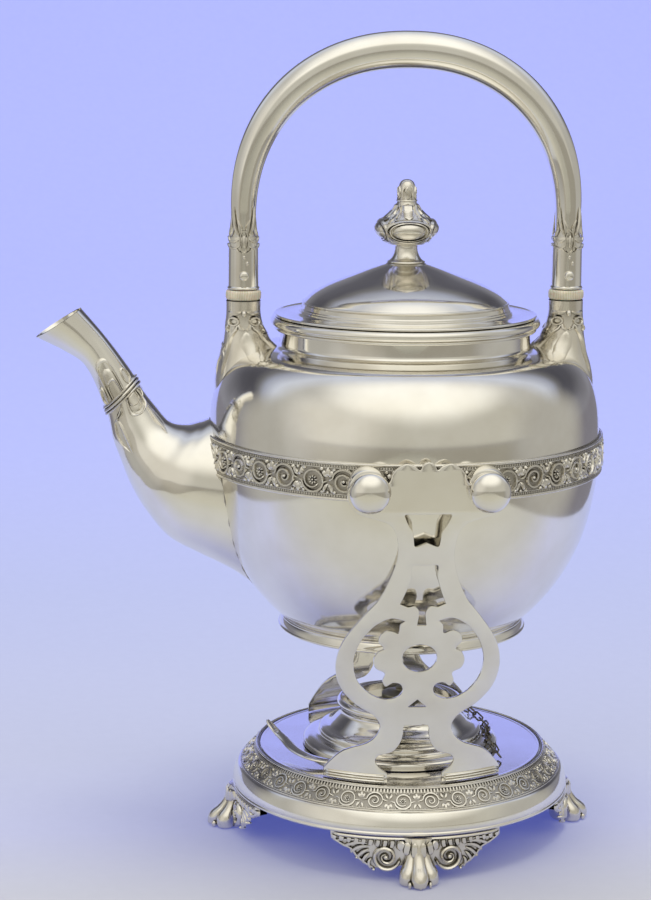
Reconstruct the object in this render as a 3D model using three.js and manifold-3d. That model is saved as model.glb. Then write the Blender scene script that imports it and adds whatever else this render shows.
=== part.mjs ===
// Tilting tea kettle with a fixed overhead handle and a hinged lid, on a pierced stand with paw feet,
// over a spirit lamp. Millimetres, Z up, the spout towards -X and the lid's hinge towards +Y.
import * as THREE from "three";
import { mergeVertices } from "three/addons/utils/BufferGeometryUtils.js";
import Module from "manifold-3d";

const wasm = await Module();
wasm.setup();

// Clearances that every fit uses
const seatGap = 0.3;
const sinkDepth = 6;
const weldDistance = 1e-4;

// Facet counts
const roundSteps = 32;
const smallSteps = 12;
const tubeSteps = 10;
const wireSides = 5;

// Stand base
const plateTop = 36.5;
const plateRadius = 61.2;
const plateThickness = 2;
const baseBandSpread = 8.4;
const baseBandDrop = 7.6;
const baseBandThickness = 1.6;
const baseBeadWidth = 1.2;
const rimProud = 3.6;
const rimHeight = 9.4;
const rimLedge = 4.1;
const rimWall = 2.2;

// Paw feet
const footCount = 4;
const pawProud = 1.8;
const pawHalfWidth = 8.4;
const pawHalfDepth = 7.8;
const apronHalfWidth = 35;
const apronSetBack = 1.2;
const apronThickness = 3;
const voluteRadius = 5;
const voluteSpread = 13.4;
const voluteHeight = 12;
const voluteProud = 1.6;

// Pivot pins, whose axis sets the kettle's height over the floor
const pinHeight = 167;
const pinSpread = 23.4;
const pinShaftRadius = 2.7;
const pinBossRadius = 8.2;
const pinKnobRadius = 8.1;

// Kettle body, hung from its pins
const bellyDrop = 75;
const bellyHeight = 119.6;
const bellyRadius = 83;
const neckRadius = 53;
const neckHeight = 6.9;
const bodyWall = 1.5;
const kettleFootProud = 5.3;
const kettleFootDrop = 1.5;
const kettleFootHeight = 4.8;
const kettleFootWall = 4.4;

// Applied belly band
const beltLift = 68.5;
const beltHeight = 15.5;
const beltThickness = 0.9;
const beltBeadHeight = 1.1;
const beltBeadProud = 0.5;

// Mouth rim and lid
const mouthRimProud = 4.1;
const mouthRimHeight = 5.5;
const mouthLedge = 2.7;
const lidSetBack = 1.5;
const lidRise = 23.4;
const lidWall = 1.4;
const lidFlange = 1.2;
const lidBezelDepth = 4;
const lidBezelClearance = 1.6;
const finialRadius = 13.5;
const finialHeight = 33.6;

// Lid hinge
const hingeProud = 2.3;
const hingeLift = 1.9;
const hingeBarrelRadius = 2.2;
const hingePinRadius = 1;
const hingePinClearance = 0.25;
const hingeKnuckleLength = 4.4;
const hingeArmThickness = 1.6;
const hingeArmOverlap = 4;

// Spout, whose stations follow its reach and its rise
const spoutReach = 155.5;
const spoutRise = 121.9;
const spoutBootLift = 14;
const spoutBootHalfWidth = 26;
const spoutWall = 1.5;
const strapProud = 1.1;
const bodyHoleRadius = 15;

// Overhead handle
const legClearance = 11.5;
const legRise = 11.2;
const archRise = 67.6;
const archPower = 2.15;
const legSetBack = 0.35;
const crownHalfThickness = 8.1;
const socketRise = 12.5;
const socketRadius = 7.3;
const socketHalfWidth = 17;
const socketSkirtDrop = 40;
const insulatorHeight = 4.2;
const insulatorProud = 0.3;
const ferruleHeight = 21;
const ferruleSetBack = 0.4;
const ferruleTaper = 0.7;
const rivetRise = 6;
const rivetShankRadius = 1.1;
const rivetHeadRadius = 2.1;
const rivetHeadHeight = 1.1;
const rivetClearance = 0.25;

// Uprights that carry the pins
const cradleClearance = 0.6;
const crestRise = 11.1;
const uprightThickness = 2;
const uprightSetBack = 3.7;
const uprightHeadClearance = 5;
const footMouldingHeight = 3.4;
const footMouldingProud = 1.3;

// Spirit lamp
const lampRadius = 42.4;
const lampHeight = 16.6;
const lampWall = 1.8;
const lampRimProud = 1.5;
const lampRimWidth = 3;
const lampRimHeight = 3.4;
const burnerRadius = 6.5;
const burnerHeight = 8;
const burnerWall = 1.4;
const wickClearance = 0.5;
const wickProud = 1.2;
const capDepth = 3.8;
const capWall = 1.2;
const lampHandleReach = 58.6;
const lampHandleWidth = 5.4;
const lampHandleThickness = 1.3;

// Lamp chain
const chainPitch = 4.4;
const chainWireRadius = 0.42;
const chainLinkSlack = 0.45;

// Sizes, heights and places that follow from the driving sizes
const baseBandRadius = plateRadius + baseBandSpread;
const rimRadius = baseBandRadius + rimProud;
const rimInnerRadius = baseBandRadius - rimLedge;
const pawReach = rimRadius + pawProud;
const apronReach = rimRadius - apronSetBack;
const uprightFootReach = plateRadius - uprightSetBack;
const mouthRimRadius = neckRadius + mouthRimProud;
const mouthRadius = neckRadius - mouthLedge;
const lidRadius = mouthRimRadius - lidSetBack;
const hingeReach = mouthRimRadius + hingeProud;
const legSpread = mouthRimRadius + legClearance;
const insulatorRadius = socketRadius + insulatorProud;
const ferruleFootRadius = socketRadius - ferruleSetBack;
const ferruleTopRadius = ferruleFootRadius - ferruleTaper;
const legHalfThickness = ferruleTopRadius - legSetBack;
const wickRadius = burnerRadius - burnerWall - wickClearance;
const baseBandFoot = plateTop - baseBandDrop;
const rimTop = baseBandFoot - seatGap;
const rimBottom = rimTop - rimHeight;
const bellyBottom = pinHeight - bellyDrop;
const shoulderTop = bellyBottom + bellyHeight;
const neckTop = shoulderTop + neckHeight;
const beltBottom = bellyBottom + beltLift;
const beltTop = beltBottom + beltHeight;
const spoutBootHeight = bellyBottom + spoutBootLift;
const uprightHeadReach = bellyRadius + uprightThickness + uprightHeadClearance;
const socketTop = neckTop + socketRise;

// Small helpers for profiles, turned pieces, lofts and booleans
const radians = THREE.MathUtils.degToRad;

function scaledPoints(shares, width, bottom, height) {
  return shares.map(([across, up]) => [across * width, bottom + up * height]);
}

function arcPoints(centreX, centreY, radius, startDegrees, endDegrees, steps) {
  const points = [];
  for (let i = 0; i <= steps; i += 1) {
    const angle = radians(startDegrees + ((endDegrees - startDegrees) * i) / steps);
    points.push([centreX + radius * Math.cos(angle), centreY + radius * Math.sin(angle)]);
  }
  return points;
}

function signedArea(points) {
  return points.reduce((sum, [x, y], i) => {
    const [nextX, nextY] = points[(i + 1) % points.length];
    return sum + (x * nextY - nextX * y) / 2;
  }, 0);
}

// A closed profile of [radius, height] pairs turned about Z. One that starts on the axis also ends there.
function turned(profile, steps = roundSteps) {
  const ordered = signedArea(profile) < 0 ? [...profile].reverse() : [...profile];
  const startsOnAxis = profile[0][0] === 0;
  if (startsOnAxis && ordered[0][0] !== 0) ordered.unshift(ordered.pop());
  if (!startsOnAxis) ordered.push(ordered[0]);
  const points = ordered.map(([radius, height]) => new THREE.Vector2(radius, height));
  return new THREE.LatheGeometry(points, steps).rotateX(Math.PI / 2);
}

// A chain of rings with equal point counts, joined in order. It is capped at both ends or closed on itself.
function loft(rings, closed = false) {
  const count = rings[0].length;
  const positions = rings.flat().flatMap((point) => point.toArray());
  const index = [];
  const spans = closed ? rings.length : rings.length - 1;
  for (let ring = 0; ring < spans; ring += 1) {
    const next = (ring + 1) % rings.length;
    for (let i = 0; i < count; i += 1) {
      const j = (i + 1) % count;
      const corners = [ring * count + i, ring * count + j, next * count + j, next * count + i];
      index.push(corners[0], corners[1], corners[2], corners[0], corners[2], corners[3]);
    }
  }
  if (!closed) {
    for (const [ring, flip] of [[0, true], [rings.length - 1, false]]) {
      const middle = positions.length / 3;
      const centre = new THREE.Vector3();
      rings[ring].forEach((point) => centre.addScaledVector(point, 1 / count));
      positions.push(...centre.toArray());
      for (let i = 0; i < count; i += 1) {
        const j = (i + 1) % count;
        if (flip) index.push(middle, ring * count + j, ring * count + i);
        else index.push(middle, ring * count + i, ring * count + j);
      }
    }
  }
  const geometry = new THREE.BufferGeometry();
  geometry.setAttribute("position", new THREE.Float32BufferAttribute(positions, 3));
  geometry.setIndex(index);
  return facingOut(geometry);
}

function volumeOf(geometry) {
  const position = geometry.getAttribute("position");
  const corners = [new THREE.Vector3(), new THREE.Vector3(), new THREE.Vector3()];
  let volume = 0;
  for (let i = 0; i < geometry.index.count; i += 3) {
    corners.forEach((corner, k) => corner.fromBufferAttribute(position, geometry.index.getX(i + k)));
    volume += corners[0].dot(corners[1].cross(corners[2])) / 6;
  }
  return volume;
}

function facingOut(geometry) {
  if (volumeOf(geometry) < 0) {
    const order = Array.from(geometry.index.array);
    for (let i = 0; i < order.length; i += 3) [order[i], order[i + 1]] = [order[i + 1], order[i]];
    geometry.setIndex(order);
  }
  geometry.computeVertexNormals();
  return geometry;
}

function solidOf(geometry) {
  const bare = geometry.clone();
  bare.deleteAttribute("normal");
  if (bare.getAttribute("uv")) bare.deleteAttribute("uv");
  const merged = mergeVertices(bare, weldDistance);
  const order = Array.from(merged.index.array);
  const triangles = [];
  for (let i = 0; i < order.length; i += 3) {
    const [a, b, c] = order.slice(i, i + 3);
    if (a !== b && b !== c && a !== c) triangles.push(a, b, c);
  }
  return new wasm.Manifold(
    new wasm.Mesh({
      numProp: 3,
      vertProperties: new Float32Array(merged.getAttribute("position").array),
      triVerts: new Uint32Array(triangles),
    }),
  );
}

function geometryOf(solid) {
  const mesh = solid.getMesh();
  const geometry = new THREE.BufferGeometry();
  geometry.setAttribute("position", new THREE.Float32BufferAttribute(mesh.vertProperties, 3));
  geometry.setIndex(Array.from(mesh.triVerts));
  geometry.computeVertexNormals();
  return geometry;
}

// The prism of a closed outline in X and Z, with holes, running along Y between two places.
function prism(outline, holes, fromY, toY) {
  const ordered = signedArea(outline) < 0 ? [...outline].reverse() : outline;
  const shape = new THREE.Shape(ordered.map(([x, z]) => new THREE.Vector2(x, z)));
  for (const hole of holes) {
    shape.holes.push(new THREE.Path(hole.map(([x, z]) => new THREE.Vector2(x, z))));
  }
  const geometry = new THREE.ExtrudeGeometry(shape, { depth: toY - fromY, bevelEnabled: false });
  return geometry.rotateX(Math.PI / 2).translate(0, toY, 0);
}

// A right half outline and its mirror image, whose points on the middle line aren't repeated
function mirrored(half) {
  const other = half.filter(([x]) => x !== 0).map(([x, z]) => [-x, z]);
  return [...half, ...other.reverse()];
}

// Materials
const silver = { color: 0xcbc7ba, roughness: 0.2, metalness: 1 };
const oxidisedSilver = { color: 0xa9a698, roughness: 0.36, metalness: 1 };
const ivory = { color: 0xd9cfa8, roughness: 0.45, metalness: 0 };
const wickCotton = { color: 0xb9b294, roughness: 0.9, metalness: 0 };

const kettleSet = new THREE.Group();

function addPiece(name, geometry, look, parent = kettleSet) {
  const mesh = new THREE.Mesh(geometry, new THREE.MeshStandardMaterial(look));
  mesh.name = name;
  parent.add(mesh);
  return mesh;
}

// Base of the stand: a round plate, a sloped ornamental band and a swelling collar under it.
// The collar's face is in shares of its spread past the band and of its height.
const rimShares = [
  [0.1, 1],
  [0.4, 0.86],
  [0.75, 0.62],
  [0.94, 0.36],
  [0.94, 0.14],
  [1, 0.1],
  [1, 0],
];

function addBase() {
  const plateFoot = plateTop - plateThickness;
  const plate = [
    [0, plateFoot],
    [plateRadius, plateFoot],
    [plateRadius, plateTop],
    [0, plateTop],
  ];
  addPiece("base_plate", turned(plate), silver);

  const bandTop = plateRadius + seatGap;
  const bandEdge = bandTop + baseBeadWidth;
  const band = [
    [bandTop, plateTop],
    [bandEdge, plateTop],
    [baseBandRadius - baseBeadWidth, baseBandFoot + baseBeadWidth],
    [baseBandRadius, baseBandFoot + baseBeadWidth],
    [baseBandRadius, baseBandFoot],
    [baseBandRadius - baseBandThickness - baseBeadWidth, baseBandFoot],
    [bandTop, plateTop - baseBandThickness - baseBeadWidth],
  ];
  addPiece("base_band", turned(band), oxidisedSilver);

  const face = rimShares.map(([out, up]) => [baseBandRadius + out * rimProud, rimBottom + up * rimHeight]);
  const rim = [
    [rimInnerRadius, rimTop],
    ...face,
    [rimRadius - rimWall, rimBottom],
    [baseBandRadius - rimWall / 2, rimTop - rimWall],
    [rimInnerRadius, rimTop - rimWall],
  ];
  addPiece("base_rim", turned(rim), silver);
}

// One foot: a paw under a scrolled apron, built at -Y and turned into place
const pawShares = [
  [0, 0.86, 0.88, 0],
  [0.12, 1, 1, 0],
  [0.3, 0.94, 0.98, -0.03],
  [0.48, 0.7, 0.78, -0.2],
  [0.66, 0.56, 0.64, -0.36],
  [0.85, 0.5, 0.74, -0.44],
  [1, 0.44, 0.86, -0.5],
];
const apronShares = [
  [1, 1],
  [1, 0.84],
  [0.87, 0.71],
  [0.76, 0.65],
  [0.69, 0.49],
  [0.51, 0.27],
  [0.25, 0.3],
  [0, 0.3],
];

function footSolid() {
  const footTop = rimBottom - seatGap;
  const rings = pawShares.map(([up, deep, wide, lean]) => {
    const ring = [];
    for (let i = 0; i < tubeSteps; i += 1) {
      const angle = (2 * Math.PI * i) / tubeSteps;
      const out = pawReach + lean * pawHalfDepth + deep * pawHalfDepth * Math.cos(angle);
      ring.push(new THREE.Vector3(wide * pawHalfWidth * Math.sin(angle), -out, up * footTop));
    }
    return ring;
  });
  let foot = solidOf(loft(rings));
  const outline = mirrored(apronShares.map(([across, up]) => [across * apronHalfWidth, up * footTop]));
  const columns = 5;
  const sheetRing = (z) => {
    const outer = [];
    const inner = [];
    for (let i = 0; i < columns; i += 1) {
      const x = (apronHalfWidth + seatGap) * ((2 * i) / (columns - 1) - 1);
      const outY = Math.sqrt(apronReach ** 2 - x ** 2);
      outer.push(new THREE.Vector3(x, -outY, z));
      inner.unshift(new THREE.Vector3(x, -outY + apronThickness, z));
    }
    return [...outer, ...inner];
  };
  const sheet = solidOf(loft([sheetRing(-sinkDepth), sheetRing(footTop + sinkDepth)]));
  const cutter = solidOf(prism(outline, [], -pawReach - pawHalfDepth, 0));
  foot = foot.add(sheet.intersect(cutter));
  for (const side of [-1, 1]) {
    const depth = apronThickness / 2 + voluteProud;
    const disc = new THREE.CylinderGeometry(voluteRadius, voluteRadius, depth, smallSteps);
    const outY = Math.sqrt(apronReach ** 2 - voluteSpread ** 2);
    disc.translate(side * voluteSpread, -outY - voluteProud + depth / 2, voluteHeight);
    foot = foot.add(solidOf(disc));
  }
  return foot;
}

function addFeet() {
  const geometry = geometryOf(footSolid());
  const names = ["front", "right", "back", "left"];
  for (let i = 0; i < footCount; i += 1) {
    const turn = new THREE.Group();
    turn.rotation.z = (2 * Math.PI * i) / footCount;
    kettleSet.add(turn);
    addPiece(`foot_${names[i]}`, geometry.clone(), silver, turn);
  }
}

// Uprights, cut from a sheet that leans out and is bent round the base at its foot.
// Places across are shares of the pins' spread, and places up are shares of the upright's height.
// The lean is in shares of the height below the pins' bosses, above which the sheet stands plumb.
const uprightFoot = plateTop + seatGap;
const uprightHeight = pinHeight + crestRise - uprightFoot;
const uprightLeanHeight = pinHeight - pinBossRadius - seatGap - uprightFoot;
const uprightReachShares = [
  [-0.035, 0],
  [0.093, 0.01],
  [0.209, 0.08],
  [0.442, 0.31],
  [0.686, 0.62],
  [0.814, 0.79],
  [0.907, 0.92],
  [1, 1],
];
const bendEndShare = 0.93;
const uprightEdgeShares = [
  [0, 1],
  [0.09, 0.994],
  [0.145, 0.977],
  [0.235, 0.988],
  [0.385, 0.995],
  [0.53, 0.982],
  [0.6, 0.97],
  [0.66, 0.943],
  [0.76, 0.933],
  [1.15, 0.933],
  [1.2, 0.94],
  [1.32, 0.932],
  [1.37, 0.912],
  [1.32, 0.882],
  [1.175, 0.856],
  [0.86, 0.838],
  [0.66, 0.825],
  [0.54, 0.8],
  [0.487, 0.762],
  [0.483, 0.719],
  [0.556, 0.667],
  [0.744, 0.592],
  [0.987, 0.539],
  [1.3, 0.461],
  [1.41, 0.41],
  [1.436, 0.357],
  [1.34, 0.297],
  [1.064, 0.244],
  [0.73, 0.208],
  [0.632, 0.177],
  [0.692, 0.145],
  [0.846, 0.12],
  [1.248, 0.089],
  [1.48, 0.048],
  [1.58, 0.024],
  [1.58, 0],
];
const vaseShares = [
  [0, 0.853],
  [0.41, 0.853],
  [0.34, 0.826],
  [0.24, 0.8],
  [0.207, 0.754],
  [0, 0.768],
];
const tulipShares = [
  [0, 0.696],
  [0.214, 0.696],
  [0.222, 0.66],
  [0.3, 0.614],
  [0.39, 0.575],
  [0.256, 0.565],
  [0.137, 0.568],
  [0.06, 0.551],
  [0.077, 0.507],
  [0, 0.507],
];
const crescentShares = [
  [0.295, 0.52],
  [0.509, 0.529],
  [0.684, 0.518],
  [0.838, 0.498],
  [1.047, 0.446],
  [1.137, 0.381],
  [1.064, 0.326],
  [0.85, 0.284],
  [0.585, 0.266],
  [0.363, 0.273],
  [0.269, 0.293],
  [0.308, 0.314],
  [0.44, 0.319],
  [0.564, 0.307],
  [0.624, 0.324],
  [0.59, 0.35],
  [0.744, 0.365],
  [0.795, 0.391],
  [0.726, 0.418],
  [0.624, 0.429],
  [0.722, 0.452],
  [0.684, 0.477],
  [0.538, 0.489],
  [0.393, 0.481],
  [0.368, 0.507],
];
const triangleShares = [
  [0, 0.265],
  [0.162, 0.241],
  [0, 0.241],
];
const slotShares = [
  [0, 0.18],
  [0.207, 0.18],
  [0.231, 0.15],
  [0.269, 0.126],
  [0.406, 0.095],
  [0.641, 0.081],
  [0.697, 0.065],
  [0.641, 0.048],
  [0.487, 0.028],
  [0.479, -0.02],
  [0, -0.02],
];
// The round eye in the middle: its half width, half height and height
const eyeShares = [0.303, 0.044, 0.4];

function uprightPoints(shares) {
  return scaledPoints(shares, pinSpread, uprightFoot, uprightHeight);
}

function reachAt(z) {
  const share = Math.min((z - uprightFoot) / uprightLeanHeight, 1);
  const next = uprightReachShares.findIndex(([up]) => up >= share);
  const [upA, outA] = uprightReachShares[Math.max(next - 1, 0)];
  const [upB, outB] = uprightReachShares[Math.max(next, 1)];
  const out = outA + ((outB - outA) * (share - upA)) / (upB - upA);
  return uprightFootReach + (uprightHeadReach - uprightFootReach) * out;
}

// The place along Y of the sheet's outer face, taken positive
function faceAt(x, z) {
  const share = (z - uprightFoot) / uprightLeanHeight;
  const bend = Math.max(0, 1 - share / bendEndShare);
  const reach = reachAt(z);
  return reach - (bend * x ** 2) / (2 * reach);
}

function bentSheet(halfWidth, levels, proud, thickness) {
  const columns = 5;
  const rings = levels.map((z) => {
    const outer = [];
    const inner = [];
    for (let i = 0; i < columns; i += 1) {
      const x = halfWidth * ((2 * i) / (columns - 1) - 1);
      const face = faceAt(x, z) + proud;
      outer.push(new THREE.Vector3(x, -face, z));
      inner.unshift(new THREE.Vector3(x, -face + thickness, z));
    }
    return [...outer, ...inner];
  });
  return solidOf(loft(rings));
}

function uprightSolid() {
  const edge = uprightPoints(uprightEdgeShares);
  const halfWidth = edge[edge.length - 1][0];
  const levels = uprightReachShares.map(([up]) => uprightFoot + up * uprightLeanHeight);
  levels.push(uprightFoot + uprightHeight + seatGap);
  const sheet = bentSheet(halfWidth + seatGap, levels, 0, uprightThickness);
  const [eyeWidth, eyeHeight, eyeRise] = eyeShares;
  const eye = [];
  for (let i = 0; i < smallSteps; i += 1) {
    const angle = (2 * Math.PI * i) / smallSteps;
    eye.push([eyeWidth * Math.cos(angle), eyeRise + eyeHeight * Math.sin(angle)]);
  }
  const crescent = uprightPoints(crescentShares);
  const holes = [
    mirrored(uprightPoints(vaseShares)),
    mirrored(uprightPoints(tulipShares)),
    crescent,
    crescent.map(([x, z]) => [-x, z]).reverse(),
    mirrored(uprightPoints(triangleShares)),
    uprightPoints(eye),
  ];
  const near = -uprightHeadReach - sinkDepth;
  let upright = sheet.intersect(solidOf(prism(mirrored(edge), holes, near, 0)));
  upright = upright.subtract(solidOf(prism(mirrored(uprightPoints(slotShares)), [], near, 0)));
  const seatRadius = pinShaftRadius + cradleClearance;
  for (const side of [-1, 1]) {
    const seat = [
      ...arcPoints(side * pinSpread, pinHeight, seatRadius, 180, 360, smallSteps / 2),
      [side * pinSpread + seatRadius, pinHeight + crestRise + sinkDepth],
      [side * pinSpread - seatRadius, pinHeight + crestRise + sinkDepth],
    ];
    upright = upright.subtract(solidOf(prism(seat, [], near, 0)));
  }
  return upright;
}

// The step along the outside of an upright's foot, one length on each side of the slot
function footMoulding(side) {
  const footEdge = uprightPoints(uprightEdgeShares).at(-1)[0];
  const slotEdge = uprightPoints(slotShares).at(-2)[0];
  const steps = 6;
  const heightShares = [[0, 1], [0.35, 1], [0.7, 0.75], [1, 0.1]];
  const rings = [];
  for (let i = 0; i <= steps; i += 1) {
    const x = side * (slotEdge + ((footEdge - slotEdge) * i) / steps);
    const outer = heightShares.map(([up, out]) => {
      const z = uprightFoot + up * footMouldingHeight;
      return new THREE.Vector3(x, -(faceAt(x, z) + seatGap + out * footMouldingProud), z);
    });
    const inner = heightShares.map(([up]) => {
      const z = uprightFoot + up * footMouldingHeight;
      return new THREE.Vector3(x, -(faceAt(x, z) + seatGap), z);
    });
    rings.push([...outer, ...inner.reverse()]);
  }
  return loft(rings);
}

function addUprights() {
  const geometry = geometryOf(uprightSolid());
  for (const [name, turnAngle] of [["front", 0], ["rear", Math.PI]]) {
    const turn = new THREE.Group();
    turn.rotation.z = turnAngle;
    kettleSet.add(turn);
    addPiece(`upright_${name}`, geometry.clone(), silver, turn);
    addPiece(`upright_${name}_step_a`, footMoulding(-1), silver, turn);
    addPiece(`upright_${name}_step_b`, footMoulding(1), silver, turn);
  }
}

// Kettle body, with its outline in shares of the belly's radius and height
const bellyShares = [
  [0.58, 0],
  [0.622, 0.03],
  [0.7, 0.08],
  [0.79, 0.155],
  [0.865, 0.238],
  [0.925, 0.33],
  [0.968, 0.435],
  [0.991, 0.535],
  [1, 0.635],
  [0.998, 0.736],
  [0.982, 0.819],
  [0.95, 0.886],
  [0.898, 0.94],
  [0.82, 0.978],
  [0.72, 0.995],
];

function bellyOutline() {
  return scaledPoints(bellyShares, bellyRadius, bellyBottom, bellyHeight);
}

// An outline moved out by a margin, square to itself at each point
function grownOutline(outline, margin) {
  return outline.map(([radius, height], i, all) => {
    const [beforeRadius, beforeHeight] = all[Math.max(i - 1, 0)];
    const [afterRadius, afterHeight] = all[Math.min(i + 1, all.length - 1)];
    const along = new THREE.Vector2(afterRadius - beforeRadius, afterHeight - beforeHeight).normalize();
    return [radius + along.y * margin, height - along.x * margin];
  });
}

// The outer form of the belly grown by a margin, as a solid that neighbours are cut against
function bellyForm(margin) {
  const grown = grownOutline(bellyOutline(), margin);
  const neck = [[neckRadius + margin, shoulderTop + margin], [neckRadius + margin, neckTop + sinkDepth]];
  const profile = [[0, bellyBottom - margin], ...grown, ...neck, [0, neckTop + sinkDepth]];
  return solidOf(turned(profile));
}

// Heights and sizes along the spout: the upper edge, the lower edge and the half width across.
// Reach is in shares of the spout's reach, height in shares of its rise and width in shares of the boot's.
const spoutHoleShare = 0.36;
const spoutShares = [
  [0.878, 1, 1, 0.9, 0.37],
  [0.836, 0.937, 0.923, 0.85, 0.3],
  [0.805, 0.888, 0.874, 0.807, 0.28],
  [0.741, 0.774, 0.822, 0.669, 0.33],
  [0.714, 0.715, 0.807, 0.612, 0.37],
  [0.68, 0.658, 0.797, 0.545, 0.43],
  [0.645, 0.606, 0.781, 0.488, 0.5],
  [0.6, 0.59, 0.75, 0.386, 0.66],
  [0.56, 0.6, 0.707, 0.29, 0.84],
  [0.52, 0.612, 0.642, 0.193, 0.96],
  [0.46, 0.6, 0.564, 0.138, 1],
  [0.39, 0.52, 0.48, 0.083, 0.92],
  [0.34, 0.4, 0.4, 0.01, 0.7],
];

function spoutRing([upperReach, upperRise, lowerReach, lowerRise, widthShare], inset) {
  const upper = new THREE.Vector3(-upperReach * spoutReach, 0, spoutBootHeight + upperRise * spoutRise);
  const lower = new THREE.Vector3(-lowerReach * spoutReach, 0, spoutBootHeight + lowerRise * spoutRise);
  const centre = upper.clone().add(lower).multiplyScalar(0.5);
  const half = upper.clone().sub(lower).multiplyScalar(0.5);
  const tall = half.length();
  const ring = [];
  for (let i = 0; i < smallSteps; i += 1) {
    const angle = (2 * Math.PI * i) / smallSteps;
    const point = centre.clone().addScaledVector(half, ((tall - inset) / tall) * Math.cos(angle));
    point.y = (widthShare * spoutBootHalfWidth - inset) * Math.sin(angle);
    ring.push(point);
  }
  return ring;
}

function spoutForm(margin) {
  return solidOf(loft(spoutShares.map((share) => spoutRing(share, -margin))));
}

function spoutSolid() {
  const outer = spoutShares.map((share) => spoutRing(share, 0));
  const inner = spoutShares.map((share) => spoutRing(share, spoutWall)).reverse();
  return solidOf(loft([...outer, ...inner], true)).subtract(bellyForm(seatGap));
}

function addSpout() {
  addPiece("spout", geometryOf(spoutSolid()), silver);
  const [strapStart, strapEnd] = [3, 6];
  const stations = spoutShares.slice(strapStart, strapEnd + 1);
  const outer = stations.map((share) => spoutRing(share, -seatGap - strapProud));
  const inner = stations.map((share) => spoutRing(share, -seatGap)).reverse();
  addPiece("spout_strap", loft([...outer, ...inner], true), silver);
}

function addBody() {
  const outer = bellyOutline();
  const inner = grownOutline(outer, -bodyWall).filter((point, i) => i % 2 === 0);
  inner[0] = [inner[0][0], bellyBottom + bodyWall];
  const profile = [
    [0, bellyBottom],
    ...outer,
    [neckRadius, shoulderTop],
    [neckRadius, neckTop],
    [neckRadius - bodyWall, neckTop],
    [neckRadius - bodyWall, shoulderTop - bodyWall],
    ...inner.reverse(),
    [0, bellyBottom + bodyWall],
  ];
  const hole = new THREE.CylinderGeometry(bodyHoleRadius, bodyHoleRadius, bellyRadius, smallSteps);
  hole.rotateZ(Math.PI / 2);
  const holeHeight = spoutBootHeight + spoutRise * spoutHoleShare;
  hole.translate(-bellyRadius, 0, holeHeight);
  addPiece("kettle_body", geometryOf(solidOf(turned(profile)).subtract(solidOf(hole))), silver);

  const kettleFootRadius = outer[0][0] + kettleFootProud;
  const footBottom = bellyBottom - kettleFootDrop;
  const footTop = footBottom + kettleFootHeight;
  const footRing = [
    [kettleFootRadius - kettleFootWall, footTop],
    [kettleFootRadius - kettleFootWall / 6, footTop],
    [kettleFootRadius, footBottom + kettleFootHeight / 3],
    [kettleFootRadius, footBottom],
    [kettleFootRadius - kettleFootWall, footBottom],
  ];
  const ring = solidOf(turned(footRing)).subtract(bellyForm(seatGap));
  addPiece("kettle_foot", geometryOf(ring), silver);
}

// Applied ornamental band round the belly, cut back where the spout and its seam cross it
function addBelt() {
  const inside = bellyRadius + seatGap;
  const face = inside + beltThickness;
  const bead = face + beltBeadProud;
  const profile = [
    [inside, beltBottom],
    [bead, beltBottom],
    [bead, beltBottom + beltBeadHeight],
    [face, beltBottom + beltBeadHeight],
    [face, beltTop - beltBeadHeight],
    [bead, beltTop - beltBeadHeight],
    [bead, beltTop],
    [inside, beltTop],
  ];
  const belt = solidOf(turned(profile)).subtract(spoutForm(seatGap));
  addPiece("belly_band", geometryOf(belt), oxidisedSilver);
}

// Mouth rim, lid and finial
const mouthRimBottom = neckTop + seatGap;
const mouthRimTop = mouthRimBottom + mouthRimHeight;
const lidBottom = mouthRimTop + seatGap;
const domeShares = [
  [0.788, 0.244],
  [0.71, 0.393],
  [0.545, 0.598],
  [0.387, 0.735],
  [0.245, 0.859],
  [0.13, 0.927],
  [0, 1],
];
const finialShares = [
  [0, 0],
  [0.65, 0],
  [0.65, 0.03],
  [0.47, 0.055],
  [0.37, 0.1],
  [0.35, 0.16],
  [0.42, 0.195],
  [0.68, 0.225],
  [0.89, 0.306],
  [1, 0.4],
  [0.93, 0.465],
  [0.69, 0.532],
  [0.5, 0.585],
  [0.36, 0.65],
  [0.31, 0.73],
  [0.28, 0.82],
  [0.26, 0.91],
  [0.18, 0.965],
  [0, 1],
];

function addMouth() {
  const roll = mouthRimHeight / 2;
  const profile = [
    [mouthRadius, mouthRimBottom],
    ...arcPoints(mouthRimRadius - roll, mouthRimBottom + roll, roll, -90, 90, smallSteps / 3),
    [mouthRadius, mouthRimTop],
  ];
  addPiece("mouth_rim", turned(profile), silver);
}

function addLid() {
  const dome = scaledPoints(domeShares, lidRadius, lidBottom, lidRise);
  const domeRadius = dome[0][0];
  const bezelOuter = mouthRadius - lidBezelClearance;
  const bezelInner = bezelOuter - lidWall;
  const narrowing = 1 - lidWall / domeRadius;
  const inner = dome.map(([radius, height]) => [radius * narrowing, height - lidWall]).reverse();
  const profile = [
    ...inner,
    [domeRadius - lidWall, lidBottom],
    [bezelInner, lidBottom],
    [bezelInner, lidBottom - lidBezelDepth],
    [bezelOuter, lidBottom - lidBezelDepth],
    [bezelOuter, lidBottom],
    [lidRadius, lidBottom],
    [lidRadius, lidBottom + lidFlange],
    [domeRadius + lidWall / 2, lidBottom + lidFlange],
    ...dome,
  ];
  addPiece("lid", turned(profile), silver);
  const finialBottom = lidBottom + lidRise + seatGap;
  const finial = scaledPoints(finialShares, finialRadius, finialBottom, finialHeight);
  addPiece("lid_finial", turned(finial, smallSteps), silver);
}

// Lid hinge: two outer knuckles on the mouth rim, one on the lid, and a pin through all three
function barrel(length, centreX, y, z) {
  const geometry = new THREE.CylinderGeometry(hingeBarrelRadius, hingeBarrelRadius, length, tubeSteps);
  return solidOf(geometry.rotateZ(Math.PI / 2).translate(centreX, y, z));
}

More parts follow.
